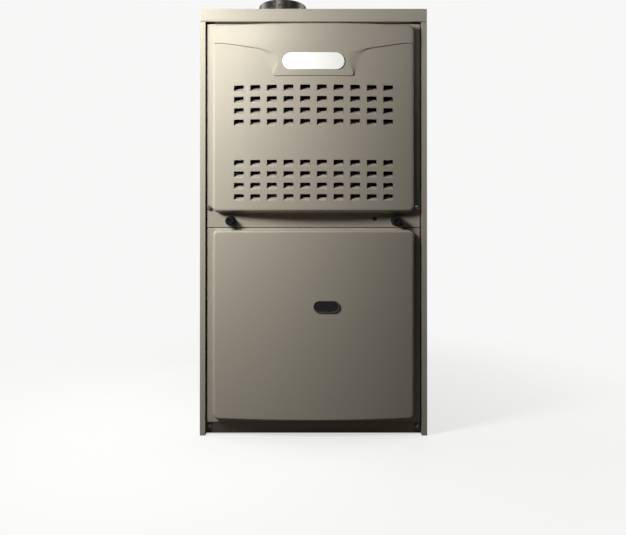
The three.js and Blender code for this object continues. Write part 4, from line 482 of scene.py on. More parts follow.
NODES_BY_SLOT = {
    "cabinet_paint": "left_side_panel right_side_panel back_panel top_cap",
    "door_paint": "upper_door lower_door",
    "rail_steel": "bottom_cap",
    "galvanised_sheet": "bottom_panel blower_deck vestibule_panel burner_shelf collector_box blower_housing "
                        "blower_wheel motor_mount capacitor control_box inducer_wheel junction_box",
    "aluminised_steel": "heat_exchanger_1 heat_exchanger_2 heat_exchanger_3 burner_1 burner_2 burner_3",
    "flue_steel": "flue_collar flue_boot",
    "foil": "foil_liner",
    "cast_aluminium": "gas_valve inducer_housing",
    "black_pipe": "gas_manifold gas_inlet_pipe",
    "black_enamel": "inducer_motor blower_motor",
    "transformer_iron": "transformer",
    "zinc": "blower_shaft door_screw_left door_screw_right base_screw_left base_screw_right",
    "bezel_steel": "sight_glass_bezel",
    "black_plastic": "rollout_switch_left rollout_switch_right inducer_cooling_fan door_switch knob_left "
                     "knob_right",
    "grey_plastic": "pressure_switch limit_switch door_switch_plunger",
    "red_plastic": "gas_valve_knob reset_button_left reset_button_right",
    "hose_rubber": "pressure_hose",
    "ceramic": "igniter flame_sensor",
    "circuit_board": "control_board",
    "badge_white": "badge",
    "smoked_glass": "sight_glass",
}
SLOT_OF = {node: slot for slot, nodes in NODES_BY_SLOT.items() for node in nodes.split()}


def make_finishes(finishes):
    """All materials, one for each slot of the record."""
    painted("cabinet_paint", tuple(finishes.paint), 0.40)
    painted("door_paint", tuple(finishes.paint), 0.36, dust_amount=0.06, coat_weight=0.8, coat_roughness=0.05)
    drawn("rail_steel", tuple(finishes.rail), 0.5, 0.35, (0.04, 1.0, 1.0), contrast=0.16)
    patterned("spangle", "galvanised_sheet", tuple(finishes.galvanised), 0.40, 0.7, 0.00002, 0.15, scale=85.0,
              contrast=0.10)
    fired_finish()
    # the flue's strong vertical streaks (contrast 0.6) are partly real grain and partly painted reflection:
    # they copy the reflections along a smooth pipe
    drawn("flue_steel", tuple(finishes.flue), 0.25, 0.8, (0.35, 0.35, 0.01), contrast=0.6)
    foil_finish()
    cast_finish()
    moulded("black_pipe", (0.03, 0.028, 0.026), 0.42, distance=0.0001, scale=900.0)
    painted("black_enamel", (0.02, 0.021, 0.023), 0.3, change=0.1)
    drawn("transformer_iron", (0.06, 0.055, 0.05), 0.45, 0.5, (1.0, 0.03, 1.0), contrast=0.25)
    drawn("zinc", (0.62, 0.63, 0.63), 0.3, 0.85, (1.0, 1.0, 1.0), contrast=0.08, dust_amount=0.05)
    painted("bezel_steel", (0.055, 0.05, 0.046), 0.32, change=0.06)
    moulded("black_plastic", (0.012, 0.012, 0.013), 0.42)
    moulded("grey_plastic", (0.11, 0.12, 0.13), 0.5)
    moulded("red_plastic", (0.36, 0.02, 0.012), 0.42)
    moulded("hose_rubber", (0.014, 0.014, 0.014), 0.62)
    moulded("ceramic", (0.68, 0.64, 0.55), 0.75, distance=0.00006)
    board_finish()
    moulded("badge_white", tuple(finishes.badge), 0.22, change=0.01, distance=0.00001, scale=300.0)
    moulded("smoked_glass", (0.02, 0.018, 0.018), 0.08, change=0.02, distance=0.000005, scale=60.0,
            coat_weight=0.5)


# ---- Pieces from meshes ----


def new_mesh(name, points, faces):
    """A mesh in metres from points in millimetres."""
    mesh = bpy.data.meshes.new(name)
    mesh.from_pydata([tuple(c * MM for c in p) for p in points], [], faces)
    mesh.validate()
    return mesh


def bake(obj):
    """Applies an object's modifiers, so that what is left is a plain mesh."""
    if not obj.modifiers:
        return
    bpy.context.view_layer.update()
    graph = bpy.context.evaluated_depsgraph_get()
    evaluated = obj.evaluated_get(graph)
    mesh = bpy.data.meshes.new_from_object(evaluated, preserve_all_data_layers=True, depsgraph=graph)
    obj.modifiers.clear()
    old = obj.data
    obj.data = mesh
    if old.users == 0:
        bpy.data.meshes.remove(old)


BEVELLED_FROM = math.radians(35)  # smallest angle of an edge that is bevelled


def piece(name, mesh, body, slot, replaced=(), sharp=35.0, solidify=0.0, bevel=0.0):
    """Turns a mesh into a finished piece: thickness, bevels, smooth shading, slot and body."""
    obj = bpy.data.objects.new(name, mesh)
    bpy.context.scene.collection.objects.link(obj)
    mesh.materials.clear()
    mesh.materials.append(bpy.data.materials[slot])
    if solidify:
        shell = obj.modifiers.new("Sheet", "SOLIDIFY")
        shell.thickness = solidify * MM
        shell.offset = -1.0
    if bevel:
        edge = obj.modifiers.new("Edges", "BEVEL")
        edge.width = bevel * MM
        edge.segments = 2
        edge.limit_method = "ANGLE"
        edge.angle_limit = BEVELLED_FROM
    bake(obj)
    obj.data.shade_smooth()
    obj.data.set_sharp_from_angle(angle=math.radians(sharp))
    obj.modifiers.new("Normals", "WEIGHTED_NORMAL").keep_sharp = True
    bake(obj)
    obj.data.name = name
    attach(obj, body)
    if replaced:
        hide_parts(*replaced)


def solid_piece(name, shape, body, slot, replaced=(), sharp=35.0):
    """A piece from the points and faces of closed shapes, whose faces are made to look outwards."""
    mesh = new_mesh(name, *shape)
    bm = bmesh.new()
    bm.from_mesh(mesh)
    bmesh.ops.recalc_face_normals(bm, faces=bm.faces)
    bm.to_mesh(mesh)
    bm.free()
    piece(name, mesh, body, slot, replaced, sharp)


# ---- Outlines, as (x, z) points in millimetres ----


CORNER_STEPS = 8
SIDE_PARTS = (36, 38)  # parts of a rounded rectangle's upright and level sides
LEVEL_CLEARANCE = 0.4


def arc(x, z, radius, start, sweep, steps):
    """Points along an arc, whose angles are in degrees."""
    turns = [math.radians(start + sweep * i / steps) for i in range(steps + 1)]
    return [(x + radius * math.cos(turn), z + radius * math.sin(turn)) for turn in turns]


def circle(x, z, radius, steps):
    return arc(x, z, radius, 0, 360, steps)[:-1]


def between(begin, end, parts):
    """The points that divide a straight line into equal parts, without its ends."""
    return [tuple(a + (b - a) * i / parts for a, b in zip(begin, end)) for i in range(1, parts)]


def rounded_rectangle(half_x, low, high, radius, levels=None):
    """Points anticlockwise round a rectangle with round corners. Levels are heights for its sides."""
    right, bottom, top = half_x - radius, low + radius, high - radius
    middles = [(right, bottom), (right, top), (-right, top), (-right, bottom)]
    corners = [arc(x, z, radius, 90 * i - 90, 90, CORNER_STEPS) for i, (x, z) in enumerate(middles)]
    points = []
    for i, corner in enumerate(corners):
        points += corner
        begin, end = corner[-1], corners[(i + 1) % 4][0]
        if levels is None or i % 2:
            points += between(begin, end, SIDE_PARTS[i % 2])
        else:
            side = [z for z in sorted(levels) if bottom + LEVEL_CLEARANCE < z < top - LEVEL_CLEARANCE]
            points += [(begin[0], z) for z in (reversed(side) if i else side)]
    return points


def pill(x, z, width, height, steps=14, straight=8):
    """Points round a pill that lies along X."""
    radius = height / 2
    reach = width / 2 - radius
    right = arc(x + reach, z, radius, -90, 180, steps)
    left = arc(x - reach, z, radius, 90, 180, steps)
    return right + between(right[-1], left[0], straight) + left + between(left[-1], right[0], straight)


def rounded_corner(before, corner, after, steps, most):
    """Points round a corner (x, z, radius) between two others. It takes up at most a share of each side."""
    x, z, radius = corner
    here = Vector((x, z))
    back, on = Vector((before[0] - x, before[1] - z)), Vector((after[0] - x, after[1] - z))
    trim = min(radius / math.tan(back.angle(on) / 2), back.length * most, on.length * most)
    start, end = here + back.normalized() * trim, here + on.normalized() * trim
    shares = [k / steps for k in range(steps + 1)]
    return [tuple(start * (1 - t) ** 2 + here * 2 * t * (1 - t) + end * t * t) for t in shares]


def rounded_outline(corners, steps=6):
    """Points round an outline whose corners are (x, z, radius)."""
    return [
        point
        for before, here, after in zip(corners[-1:] + corners[:-1], corners, corners[1:] + corners[:1])
        for point in rounded_corner(before, here, after, steps, most=0.48)
    ]


def dense(outline, spacing, closed=True):
    """The same outline with extra points, so that no side is longer than the spacing."""
    points = []
    for begin, end in zip(outline, outline[1:] + (outline[:1] if closed else [])):
        parts = max(1, math.ceil(math.dist(begin, end) / spacing))
        points += [begin, *between(begin, end, parts)]
    return points if closed else points + outline[-1:]


def inset(outline, distance):
    """An anticlockwise outline moved inwards by a small distance."""
    points = []
    for (x0, z0), (x1, z1), (x2, z2) in zip(outline[-1:] + outline[:-1], outline, outline[1:] + outline[:1]):
        a = Vector((x1 - x0, z1 - z0)).normalized()
        b = Vector((x2 - x1, z2 - z1)).normalized()
        normal = Vector((-a.y - b.y, a.x + b.x)).normalized()
        stretch = distance / max(0.5, normal.dot(Vector((-a.y, a.x))))
        points.append((x1 + normal.x * stretch, z1 + normal.y * stretch))
    return points


def contains(outline, x, z):
    xs = [p[0] for p in outline]
    if not min(xs) < x < max(xs):
        return False
    inside = False
    for (x0, z0), (x1, z1) in zip(outline, outline[1:] + outline[:1]):
        if (z0 > z) != (z1 > z) and x < (x1 - x0) * (z - z0) / (z1 - z0) + x0:
            inside = not inside
    return inside


# ---- Shapes: points in millimetres, and faces ----


def added(points, more):
    """Adds points to a list and returns their numbers."""
    start = len(points)
    points += more
    return list(range(start, len(points)))


def bridge(first, second, closed=True):
    """Faces between two rows of points. A row may be a single point."""
    count = max(len(first), len(second))
    faces = []
    for i in range(count if closed else count - 1):
        j = (i + 1) % count
        corners = [row[k % len(row)] for row, k in ((first, i), (first, j), (second, j), (second, i))]
        faces.append(tuple(dict.fromkeys(corners)))
    return [face for face in faces if len(face) > 2]


def loft(rings, ends="open"):
    """A skin over rings of points, whose ends are left open, filled, or joined to each other."""
    points, faces = [], []
    loops = [added(points, ring) for ring in rings]
    if ends == "joined":
        loops.append(loops[0])
    for first, second in zip(loops, loops[1:]):
        faces += bridge(first, second)
    if ends == "filled":
        faces += [tuple(reversed(loops[0])), tuple(loops[-1])]
    return points, faces


def lathe(profile, steps, axis="y", centre=(0, 0, 0)):
    """A turned shape from (radius, along) points. Points on the axis close it."""
    order = {"x": (2, 0, 1), "y": (0, 2, 1), "z": (0, 1, 2)}[axis]
    turns = [2 * math.pi * i / steps for i in range(steps)]
    rings = []
    for radius, along in profile:
        ring = [(radius * math.cos(turn), radius * math.sin(turn), along) for turn in turns]
        ring = ring if radius else [(0, 0, along)]
        rings.append([tuple(point[k] + c for k, c in zip(order, centre)) for point in ring])
    return loft(rings)


def extruded(outline, low, high, bevel=0.0):
    """A straight solid from a closed outline, between two depths, with bevelled rims."""
    rims = [(0.0, low), (0.0, high)]
    if bevel:
        rims = [(bevel, low), (0.0, low + bevel), (0.0, high - bevel), (bevel, high)]
    rings = [(inset(outline, distance) if distance else outline, depth) for distance, depth in rims]
    return loft([[(x, depth, z) for x, z in ring] for ring, depth in rings], "filled")


def moved(shape, matrix):
    points, faces = shape
    return [tuple(matrix @ Vector(p)) for p in points], faces


def joined(*shapes):
    """Several point and face lists as one."""
    points, faces = [], []
    for some, others in shapes:
        start = len(points)
        points += some
        faces += [tuple(i + start for i in face) for face in others]
    return points, faces


def mesh_shape(mesh):
    """Points in millimetres and faces of a mesh."""
    return [tuple(c / MM for c in v.co) for v in mesh.vertices], [tuple(f.vertices) for f in mesh.polygons]


class PressedSheet:
    """A sheet that is pressed out of a plane: lines of points with a depth each, filled between them."""

    def __init__(self, between_depth):
        self.points, self.depths, self.edges, self.holes = [], [], [], []
        self.between_depth = between_depth  # gives the depth where two lines cross

    def line(self, points, depth, closed=True):
        """Adds points that the sheet's edges follow, and returns their numbers."""
        self.depths += [depth(x, z) for x, z in points]
        numbers = added(self.points, points)
        self.edges += list(zip(numbers, numbers[1:] + (numbers[:1] if closed else [])))
        return numbers

    def hole(self, points, depth):
        self.holes.append(points)
        return self.line(points, depth)

    def fill(self, xs, zs, depth, inside, clearance):
        """Adds a grid of points, away from what is already there."""
        known = np.array(self.points)
        for x in xs:
            for z in zs:
                near = np.min((known[:, 0] - x) ** 2 + (known[:, 1] - z) ** 2) < clearance ** 2
                if inside(x, z) and not near:
                    self.points.append((x, z))
                    self.depths.append(depth(x, z))

    def skin(self):
        """Points and faces of the sheet, which look to the front, and where each given point went."""
        every_face, least = 0, 1e-6
        flat_points = [Vector(p) for p in self.points]
        verts, _, faces, origins, _, _ = delaunay_2d_cdt(flat_points, self.edges, [], every_face, least)
        where = {}
        points = []
        for index, (flat, given) in enumerate(zip(verts, origins)):
            depth = self.depths[given[0]] if given else self.between_depth(flat.x, flat.y)
            where.update(dict.fromkeys(given, index))
            points.append((flat.x, depth, flat.y))
        kept = []
        for face in faces:
            x, _, z = (sum(points[i][k] for i in face) / len(face) for k in range(3))
            if not any(contains(hole, x, z) for hole in self.holes):
                a, b, c = (Vector(points[i]) for i in face[:3])
                kept.append(tuple(reversed(face)) if (b - a).cross(c - a).y > 0 else tuple(face))
        return points, kept, where


# ---- Doors ----


# inset and depth behind the flange
RIM_BEND = [(0.0, RIM_DEPTH), (0.0, 1.4), (0.15, 0.8), (0.45, 0.3), (0.95, 0.05)]
RIM_RADIUS = 2.2
FLANGE_INSET = 1.5
PANEL_FOOT = [(-1.2, 0.0), (-0.5, 0.25), (-0.05, 1.0)]  # inset, rise out of the flange
PANEL_WALL = [(0.4, 0.25), (1.2, 0.62)]  # inset, share of the wall's height
PANEL_DRAFT = 2.0  # how far a panel's wall leans in
FILLET_STEPS = 7
STEP_SHARES = (0.0, 0.12, 0.3, 0.5, 0.7, 0.88, 1.0)  # of the header's step, where lines of points run
LEVEL_PITCH = 9.7
GRID_X = np.arange(-182, 183, 9.1)
FLANGE_GRID = (np.arange(-200, 201, 10), UPPER_LOW.z + np.array([8, 16, 24]))
TONGUE_BEND = 2.2  # radius of the bend at a tongue's root
ROOT_SHARES = [k / 3 for k in range(-3, 4)]  # points along a tongue's root, as shares of its half width


def flange(lift=0.0):
    """Depth of a door's flange, or of what rises a little out of it."""
    return lambda x, z: DOOR_Y - lift


def smooth(share):
    share = min(1.0, max(0.0, share))
    return share * share * (3 - 2 * share)


class DoorForm:
    """The shape that both doors share."""

    def __init__(self, sizes):
        self.sizes = sizes
        self.panel_half = DOOR_HALF_WIDTH - sizes.side_margin / MM
        self.fillet = sizes.fillet / MM
        self.corner = sizes.corner / MM
        self.side = sizes.side_rise / MM
        self.centre = sizes.centre_rise / MM
        self.header = None
        self.levels = None

    def rise(self, x, z=0.0):
        share = x / self.panel_half
        bow = self.side + (self.centre - self.side) * (1 - share * share)
        return bow + self.header.height(x, z) if self.header else bow

    def face(self, x, z=0.0):
        """Depth of a panel's face at a place on the door."""
        return DOOR_Y - self.rise(x, z)

    def shell(self, low, high, base, top):
        """The rim, flange and raised panel of a door, up to the edge of the panel's face."""
        sheet = PressedSheet(self.face)
        rings = [(rounded_rectangle(DOOR_HALF_WIDTH - d, low + d, high - d, RIM_RADIUS - d / 2), DOOR_Y + y)
                 for d, y in RIM_BEND]
        edge = sheet.line(rounded_rectangle(DOOR_HALF_WIDTH - FLANGE_INSET, low + FLANGE_INSET,
                                            high - FLANGE_INSET, FLANGE_INSET), flange())

        def ring(distance, depth):
            corner = max(self.corner - distance, 1.0)
            sheet.line(rounded_rectangle(self.panel_half - distance, base + distance, top - distance, corner,
                                         self.levels), depth)

        for distance, lift in PANEL_FOOT:
            ring(distance, flange(lift))
        for distance, share in PANEL_WALL:
            ring(distance, lambda x, z, s=share: DOOR_Y - (self.rise(x, z) - self.fillet) * s)
        for step in range(FILLET_STEPS + 1):
            turn = math.pi / 2 * step / FILLET_STEPS
            distance = PANEL_DRAFT + self.fillet * (1 - math.cos(turn))
            ring(distance, lambda x, z, t=turn: DOOR_Y - self.rise(x, z) + self.fillet * (1 - math.sin(t)))
        return sheet, rings, edge

    def fill(self, sheet, base, top, margin, clearance):
        """Fills a panel's face with a grid of points, clear of its edge."""
        half = self.panel_half - margin
        sheet.fill(GRID_X, np.arange(base + 10, top - 8, 9.3), self.face,
                   lambda x, z: abs(x) < half and base + margin < z < top - margin, clearance)

    def build(self, name, sheet, rings, edge, roots=(), tongue=()):
        """Joins the rim to the skin and bends a tongue in from each root."""
        points, faces, where = sheet.skin()
        previous = [where[i] for i in edge]
        for outline, y in reversed(rings):
            current = added(points, [(x, y, z) for x, z in outline])
            faces += bridge(current, previous)
            previous = current
        for root in roots:
            previous = [where[i] for i in root]
            line = [points[i] for i in previous]
            for back, up in tongue:
                current = added(points, [(x, y + back, z + up) for x, y, z in line])
                faces += bridge(previous, current, closed=False)
                previous = current
        return new_mesh(name, points, faces)


class Header:
    """The raised header of the upper door: two wings whose lower edge slopes down to a tab."""

    tab_half, tab_drop, shoulder_half, shoulder_drop, wing_drop = 78, 109.5, 99, 14, 43.5
    beyond = 4  # how far the outline runs past the panel
    crisp, soft = 1.7, 23.0  # width of the step, and what the tab's sides add to it

    def __init__(self, form, high, top):
        self.raised = form.sizes.header_rise / MM
        self.top = top
        self.wing = high - self.wing_drop
        self.shoulder = self.wing - self.shoulder_drop
        self.base = high - self.tab_drop
        end = form.panel_half + self.beyond
        half = [(self.tab_half, self.base, 9), (self.shoulder_half, self.shoulder, 14),
                (form.panel_half - 20, self.wing, 60), (end, self.wing, 0)]
        corners = [(-x, z, radius) for x, z, radius in reversed(half)] + half
        path = [corners[0][:2]]
        for before, here, after in zip(corners, corners[1:], corners[2:]):
            path += rounded_corner(before, here, after, steps=6, most=0.45)
        self.path = dense([*path, corners[-1][:2]], 5.0, closed=False)
        self.closed = self.path + [(end, high + self.beyond), (-end, high + self.beyond)]
        points = np.array(self.path)
        self.start, self.step = points[:-1], points[1:] - points[:-1]

    def width(self, z):
        """Width of the step: crisp along the wings and the tab's base, soft on the tab's sides."""
        soft = smooth((z - self.base) / 24) * (1 - smooth((z - self.shoulder + 15) / 15))
        return self.crisp + self.soft * soft

    def height(self, x, z):
        """How far the header stands out of the bow at a place."""
        if z < self.base - 0.01 or not contains(self.closed, x, z):
            return 0.0
        place = np.array((x, z)) - self.start
        along = np.clip((place * self.step).sum(1) / (self.step ** 2).sum(1), 0, 1)
        away = np.hypot(*(place - self.step * along[:, None]).T)
        near = int(np.argmin(away))
        edge = self.start[near, 1] + self.step[near, 1] * along[near]
        lean = 1 - 1.1 * max(0.0, z - self.wing) / (self.top - self.wing)
        return self.raised * lean * smooth(away[near] / self.width(edge))

    def offset(self, share, reach):
        """The path moved up into the header by a share of the step's width, cut to a reach each side."""
        points = []
        for i, (x, z) in enumerate(self.path):
            x0, z0 = self.path[max(i - 1, 0)]
            x1, z1 = self.path[min(i + 1, len(self.path) - 1)]
            along = Vector((x1 - x0, z1 - z0)).normalized() * share * self.width(z)
            if abs(x - along.y) < reach:
                points.append((x - along.y, z + along.x))
        return points

    def side_levels(self):
        return [self.wing + share * self.width(self.wing) for share in (-1.2, *STEP_SHARES, 2.2)]


def louvre_windows(sizes, base):
    """Outlines of the louvres' windows, each from the points of its tongue's root. The rows stand in two
    groups, one under the header and one above the panel's base."""
    half, tall = sizes.louvre_width / MM / 2, sizes.louvre_height / MM / 2
    tongue = sizes.tongue_width / MM / 2
    highest, lowest, pitch = UPPER_HIGH.z - 132, base + 28.7, sizes.row_pitch / MM
    levels = [highest - i * pitch for i in range(sizes.rows)]
    levels += [lowest + i * pitch for i in range(sizes.rows)]
    for column in range(sizes.columns):
        x = (column - (sizes.columns - 1) / 2) * sizes.column_pitch / MM
        for level in levels:
            side, bottom, top = x + half, level - tall, level + tall
            root = [(x + tongue * share, bottom) for share in ROOT_SHARES]
            right = [(side - 0.5, bottom), (side, bottom + 0.5), (side, level), (side, top - 1.4),
                     (side - 0.4, top - 0.4), (side - 1.4, top)]
            ceiling = [(x + half * share, top) for share in (0.5, 0, -0.5)]
            yield root + right + ceiling + [(2 * x - px, pz) for px, pz in reversed(right)]


def tongue_profile(sizes):
    """How far back and up from its root each row of a tongue's points lies: a bend, then a flat."""
    tilt = sizes.tongue_tilt
    turns = [tilt * k / 5 for k in range(1, 6)]
    bend = [(TONGUE_BEND * (1 - math.cos(turn)), TONGUE_BEND * math.sin(turn)) for turn in turns]
    reach = sizes.louvre_height / MM - TONGUE_BEND * tilt
    back, up = bend[-1]
    return bend + [(back + reach * share * math.sin(tilt), up + reach * share * math.cos(tilt))
                   for share in (0.33, 0.66, 1.0)]


def upper_door(sizes):
    """The louvred door, pressed and lanced from one sheet."""
    form = DoorForm(sizes)
    low, high = UPPER_LOW.z, UPPER_HIGH.z
    base = low + sizes.upper_base_margin / MM
    top = high - sizes.upper_top_margin / MM
    form.header = Header(form, high, top)
    form.levels = [*np.arange(base + 16, top - 16, LEVEL_PITCH), *form.header.side_levels()]
    sheet, rings, edge = form.shell(low, high, base, top)
    reach = form.panel_half - PANEL_DRAFT - form.fillet - 0.8
    for share in STEP_SHARES:
        sheet.line(form.header.offset(share, reach), form.face, closed=False)
    roots = [sheet.hole(window, form.face)[:len(ROOT_SHARES)] for window in louvre_windows(sizes, base)]
    for side in (-1, 1):
        sheet.hole(circle(side * KNOB_X, KNOB_Z, 3.6, 16), flange())
        sheet.hole(circle(side * SCREW_X, SCREW_Z, 1.2, 12), flange())
    sheet.hole(circle(SPY_X, SPY_Z, 4.0, 24), flange())
    form.fill(sheet, base, top, margin=8.5, clearance=2.4)
    sheet.fill(*FLANGE_GRID, flange(), lambda x, z: True, 3)
    return form.build("upper_door_pressing", sheet, rings, edge, roots, tongue_profile(sizes))


def lower_door(sizes):
    """The blower door, with the hole for the sight glass."""
    form = DoorForm(sizes)
    low, high = LOWER_LOW.z, LOWER_HIGH.z
    base = low + sizes.lower_base_margin / MM
    top = high - sizes.lower_top_margin / MM
    sheet, rings, edge = form.shell(low, high, base, top)
    sheet.hole(pill(SIGHT_X, SIGHT_Z, 48.6, 21.1), form.face)
    form.fill(sheet, base, top, margin=9, clearance=4)
    return form.build("lower_door_pressing", sheet, rings, edge)


# ---- Operators, one for each group of pieces ----


class FURNACE_OT_finishes(bpy.types.Operator):
    """Makes the finishes and gives each solid of the frame its own"""

    bl_idname = "furnace.finishes"
    bl_label = "Finishes"

    def execute(self, context):
        make_finishes(context.scene.furnace_finish)
        for node, slot in SLOT_OF.items():
            mesh = frame["nodes"][node].data
            mesh.materials.clear()
            mesh.materials.append(bpy.data.materials[slot])
        return {"FINISHED"}


ROLLED_EDGES = {
    # width of the rolled edge and largest angle that is shaded round, then the nodes
    (0.35, 32): "left_side_panel right_side_panel back_panel top_cap bottom_cap bottom_panel blower_deck "
                "vestibule_panel burner_shelf control_box junction_box motor_mount control_board",
    (0.6, 35): "collector_box gas_valve pressure_switch limit_switch rollout_switch_left "
               "rollout_switch_right door_switch transformer inducer_housing gas_valve_knob",
    (1.2, 40): "capacitor inducer_motor foil_liner",
    (0.0, 40): "blower_housing heat_exchanger_1 heat_exchanger_2 heat_exchanger_3 burner_1 burner_2 burner_3 "
               "gas_manifold gas_inlet_pipe inducer_wheel inducer_cooling_fan igniter flame_sensor "
               "door_switch_plunger reset_button_left reset_button_right blower_shaft",
    (0.0, 65): "flue_boot pressure_hose",
}


class FURNACE_OT_cabinet(bpy.types.Operator):
    """Rolls the edges of the cabinet's sheets, the boxes and the switches"""

    bl_idname = "furnace.cabinet"
    bl_label = "Cabinet and boxes"

    def execute(self, context):
        for (width, sharp), nodes in ROLLED_EDGES.items():
            for node in nodes.split():
                self.refine(node, width, sharp)
        self.hem()
        return {"FINISHED"}

    def refine(self, node, width, sharp):
        """Copies a node's solid with its flat faces joined, its edges rolled and its round faces smooth."""
        mesh = frame["nodes"][node].data.copy()
        bm = bmesh.new()
        bm.from_mesh(mesh)
        bmesh.ops.remove_doubles(bm, verts=bm.verts, dist=0.02 * MM)
        bmesh.ops.dissolve_limit(bm, angle_limit=math.radians(0.4), verts=bm.verts, edges=bm.edges)
        bm.to_mesh(mesh)
        bm.free()
        body = body_of(frame["nodes"][node])[0]
        piece(f"{node}_finished", mesh, body, SLOT_OF[node], [node], sharp=sharp, bevel=width)

    def hem(self):
        """The folded hem along the lower edge of the top cap's front lip."""
        radius, soft, lip, lift, out = 1.3, 0.3, 25.5, 1.4, 0.5
        reach = HALF_WIDTH - 0.6
        half = [(radius, reach - soft), (radius - soft, reach), (0, reach)]
        profile = [(r, -along) for r, along in reversed(half)] + half
        hem = lathe(profile, 20, "x", (0, span("top_cap")[0].y + out, CAP_Z - lip + lift))
        solid_piece("top_cap_hem", hem, "root", "cabinet_paint", sharp=50)


class FURNACE_OT_doors(bpy.types.Operator):
    """Presses the louvred upper door and the plain lower door"""

    bl_idname = "furnace.doors"
    bl_label = "Doors"

    def execute(self, context):
        sizes = context.scene.furnace_door
        for node, make in (("upper_door", upper_door), ("lower_door", lower_door)):
            panel = make(sizes)
            piece(f"{node}_panel", panel, node, "door_paint", [node], solidify=sizes.sheet / MM, sharp=42)
        half, base, top, sheet = 12, 391, 406.4, 1
        x = middle("door_switch")[0]
        corners = [(x - half, base, 3), (x + half, base, 3), (x + half, top, 1), (x - half, top, 1)]
        tab = extruded(rounded_outline(corners), RIM_Y - sheet, RIM_Y)
        solid_piece("door_switch_tab", tab, "lower_door", "door_paint")
        return {"FINISHED"}


BADGE_EDGE = [(0.0, 0.15), (0.03, 0.5), (0.15, 0.75), (0.4, 0.93), (0.75, 1.0)]  # inset, height
BEZEL_PROFILE = [(0.0, -0.5), (0.0, -1.1), (0.25, -1.75), (0.7, -2.05), (1.3, -2.1), (1.9, -1.9), (2.3, -1.3),
                 (2.4, -0.6), (2.4, 7.6), (1.5, 7.6), (1.5, -0.3), (0.6, -0.3)]  # inset, depth, all round
PANE_PROFILE = [(3.0, 1.5), (2.7, 1.2), (2.7, -0.9), (3.0, -1.25), (4.2, -1.38), (6.5, -1.45), (9.0, -1.48)]


class FURNACE_OT_trim(bpy.types.Operator):
    """Makes the badge plate, the sight glass and the door knobs"""

    bl_idname = "furnace.trim"
    bl_label = "Badge, sight glass and knobs"

    def execute(self, context):
        sizes = context.scene.furnace_pieces
        form = DoorForm(context.scene.furnace_door)
        self.badge(sizes, form)
        self.sight_glass(sizes, form)
        for side, name in ((-1, "left"), (1, "right")):
            self.knob(sizes.knob_radius / MM, side * KNOB_X, f"knob_{name}")
        return {"FINISHED"}

    def badge(self, sizes, form):
        z = middle("badge")[2]
        seat = form.sizes.header_rise / MM + 0.3
        width, height = sizes.badge_length / MM, sizes.badge_height / MM

        def lifted(lift):
            return lambda x, z: form.face(x) - seat - lift

        sheet = PressedSheet(lifted(1.0))
        for distance, lift in BADGE_EDGE:
            sheet.line(pill(0, z, width - 2 * distance, height - 2 * distance, 22, 20), lifted(lift))
        inner = pill(0, z, width - 4, height - 4)
        sheet.fill(np.arange(-56, 57, 4), np.arange(z - 14, z + 15, 3.5), lifted(1.0),
                   lambda x, z: contains(inner, x, z), 1.6)
        points, faces, _ = sheet.skin()
        outer = pill(0, z, width, height, 22, 20)
        centres = [[sum(points[i][k] for i in face) / 3 for k in (0, 2)] for face in faces]
        faces = [face for face, centre in zip(faces, centres) if contains(outer, *centre)]
        piece("badge_plate", new_mesh("badge_sheet", points, faces), "upper_door", "badge_white", ["badge"],
              solidify=0.5, sharp=60)

    def sight_glass(self, sizes, form):
        gradient = 2 * (form.centre - form.side) * SIGHT_X / form.panel_half ** 2
        place = Matrix.Translation((SIGHT_X, form.face(SIGHT_X), SIGHT_Z))
        place = place @ Matrix.Rotation(math.atan(gradient), 4, "Z")
        width, height = sizes.sight_length / MM, sizes.sight_height / MM
        for name, profile, ends, slot, node in (
            ("sight_glass_rim", BEZEL_PROFILE, "joined", "bezel_steel", "sight_glass_bezel"),
            ("sight_glass_pane", PANE_PROFILE, "filled", "smoked_glass", "sight_glass"),
        ):
            rings = [[(x, depth, z) for x, z in pill(0, 0, width - 2 * d, height - 2 * d, 16, 10)]
                     for d, depth in profile]
            solid_piece(name, moved(loft(rings, ends), place), "lower_door", slot, [node], sharp=50)

    def knob(self, radius, x, node):
        back = DOOR_Y - 0.3
        front = back - 16
        place = Matrix.Translation((x, 0, KNOB_Z)) @ Matrix.Rotation(math.radians(45), 4, "Y")
        head = lathe([
            (0, front + 6), (2.2, front + 6), (2.9, front + 0.8), (3.4, front + 0.3), (5.6, front),
            (radius - 2.2, front), (radius - 1.0, front + 0.35), (radius - 0.3, front + 1.2),
            (radius, front + 2.4), (radius, back - 3.4), (radius + 0.5, back - 2.2),
            (radius + 1.4, back - 0.5), (radius + 1.5, back), (0, back),
        ], 56, "y", (x, 0, KNOB_Z))
        tail_length, tail_width, tail_x = 19, 8, 5.5
        tail = extruded(pill(0, 0, tail_length, tail_width, 10, 4), front + 2, back - 3, bevel=0.9)
        stem = lathe([(0, back - 1), (3, back - 1), (3, back + 18), (0, back + 18)], 24, "y", (x, 0, KNOB_Z))
        half_length, half_width, depth = 7, 1.5, 3
        corners = [(-half_length, -half_width, 0.6), (half_length, -half_width, 0.6),
                   (half_length, half_width, 0.6), (-half_length, half_width, 0.6)]
        rear = span(node)[1].y
        blade = extruded(rounded_outline(corners, 3), rear - depth, rear, bevel=0.4)
        tail = moved(tail, place @ Matrix.Translation((tail_x, 0, 0)))
        shape = joined(head, tail, stem, moved(blade, place))
        solid_piece(f"door_{node}", shape, node, "black_plastic", [node], sharp=40)


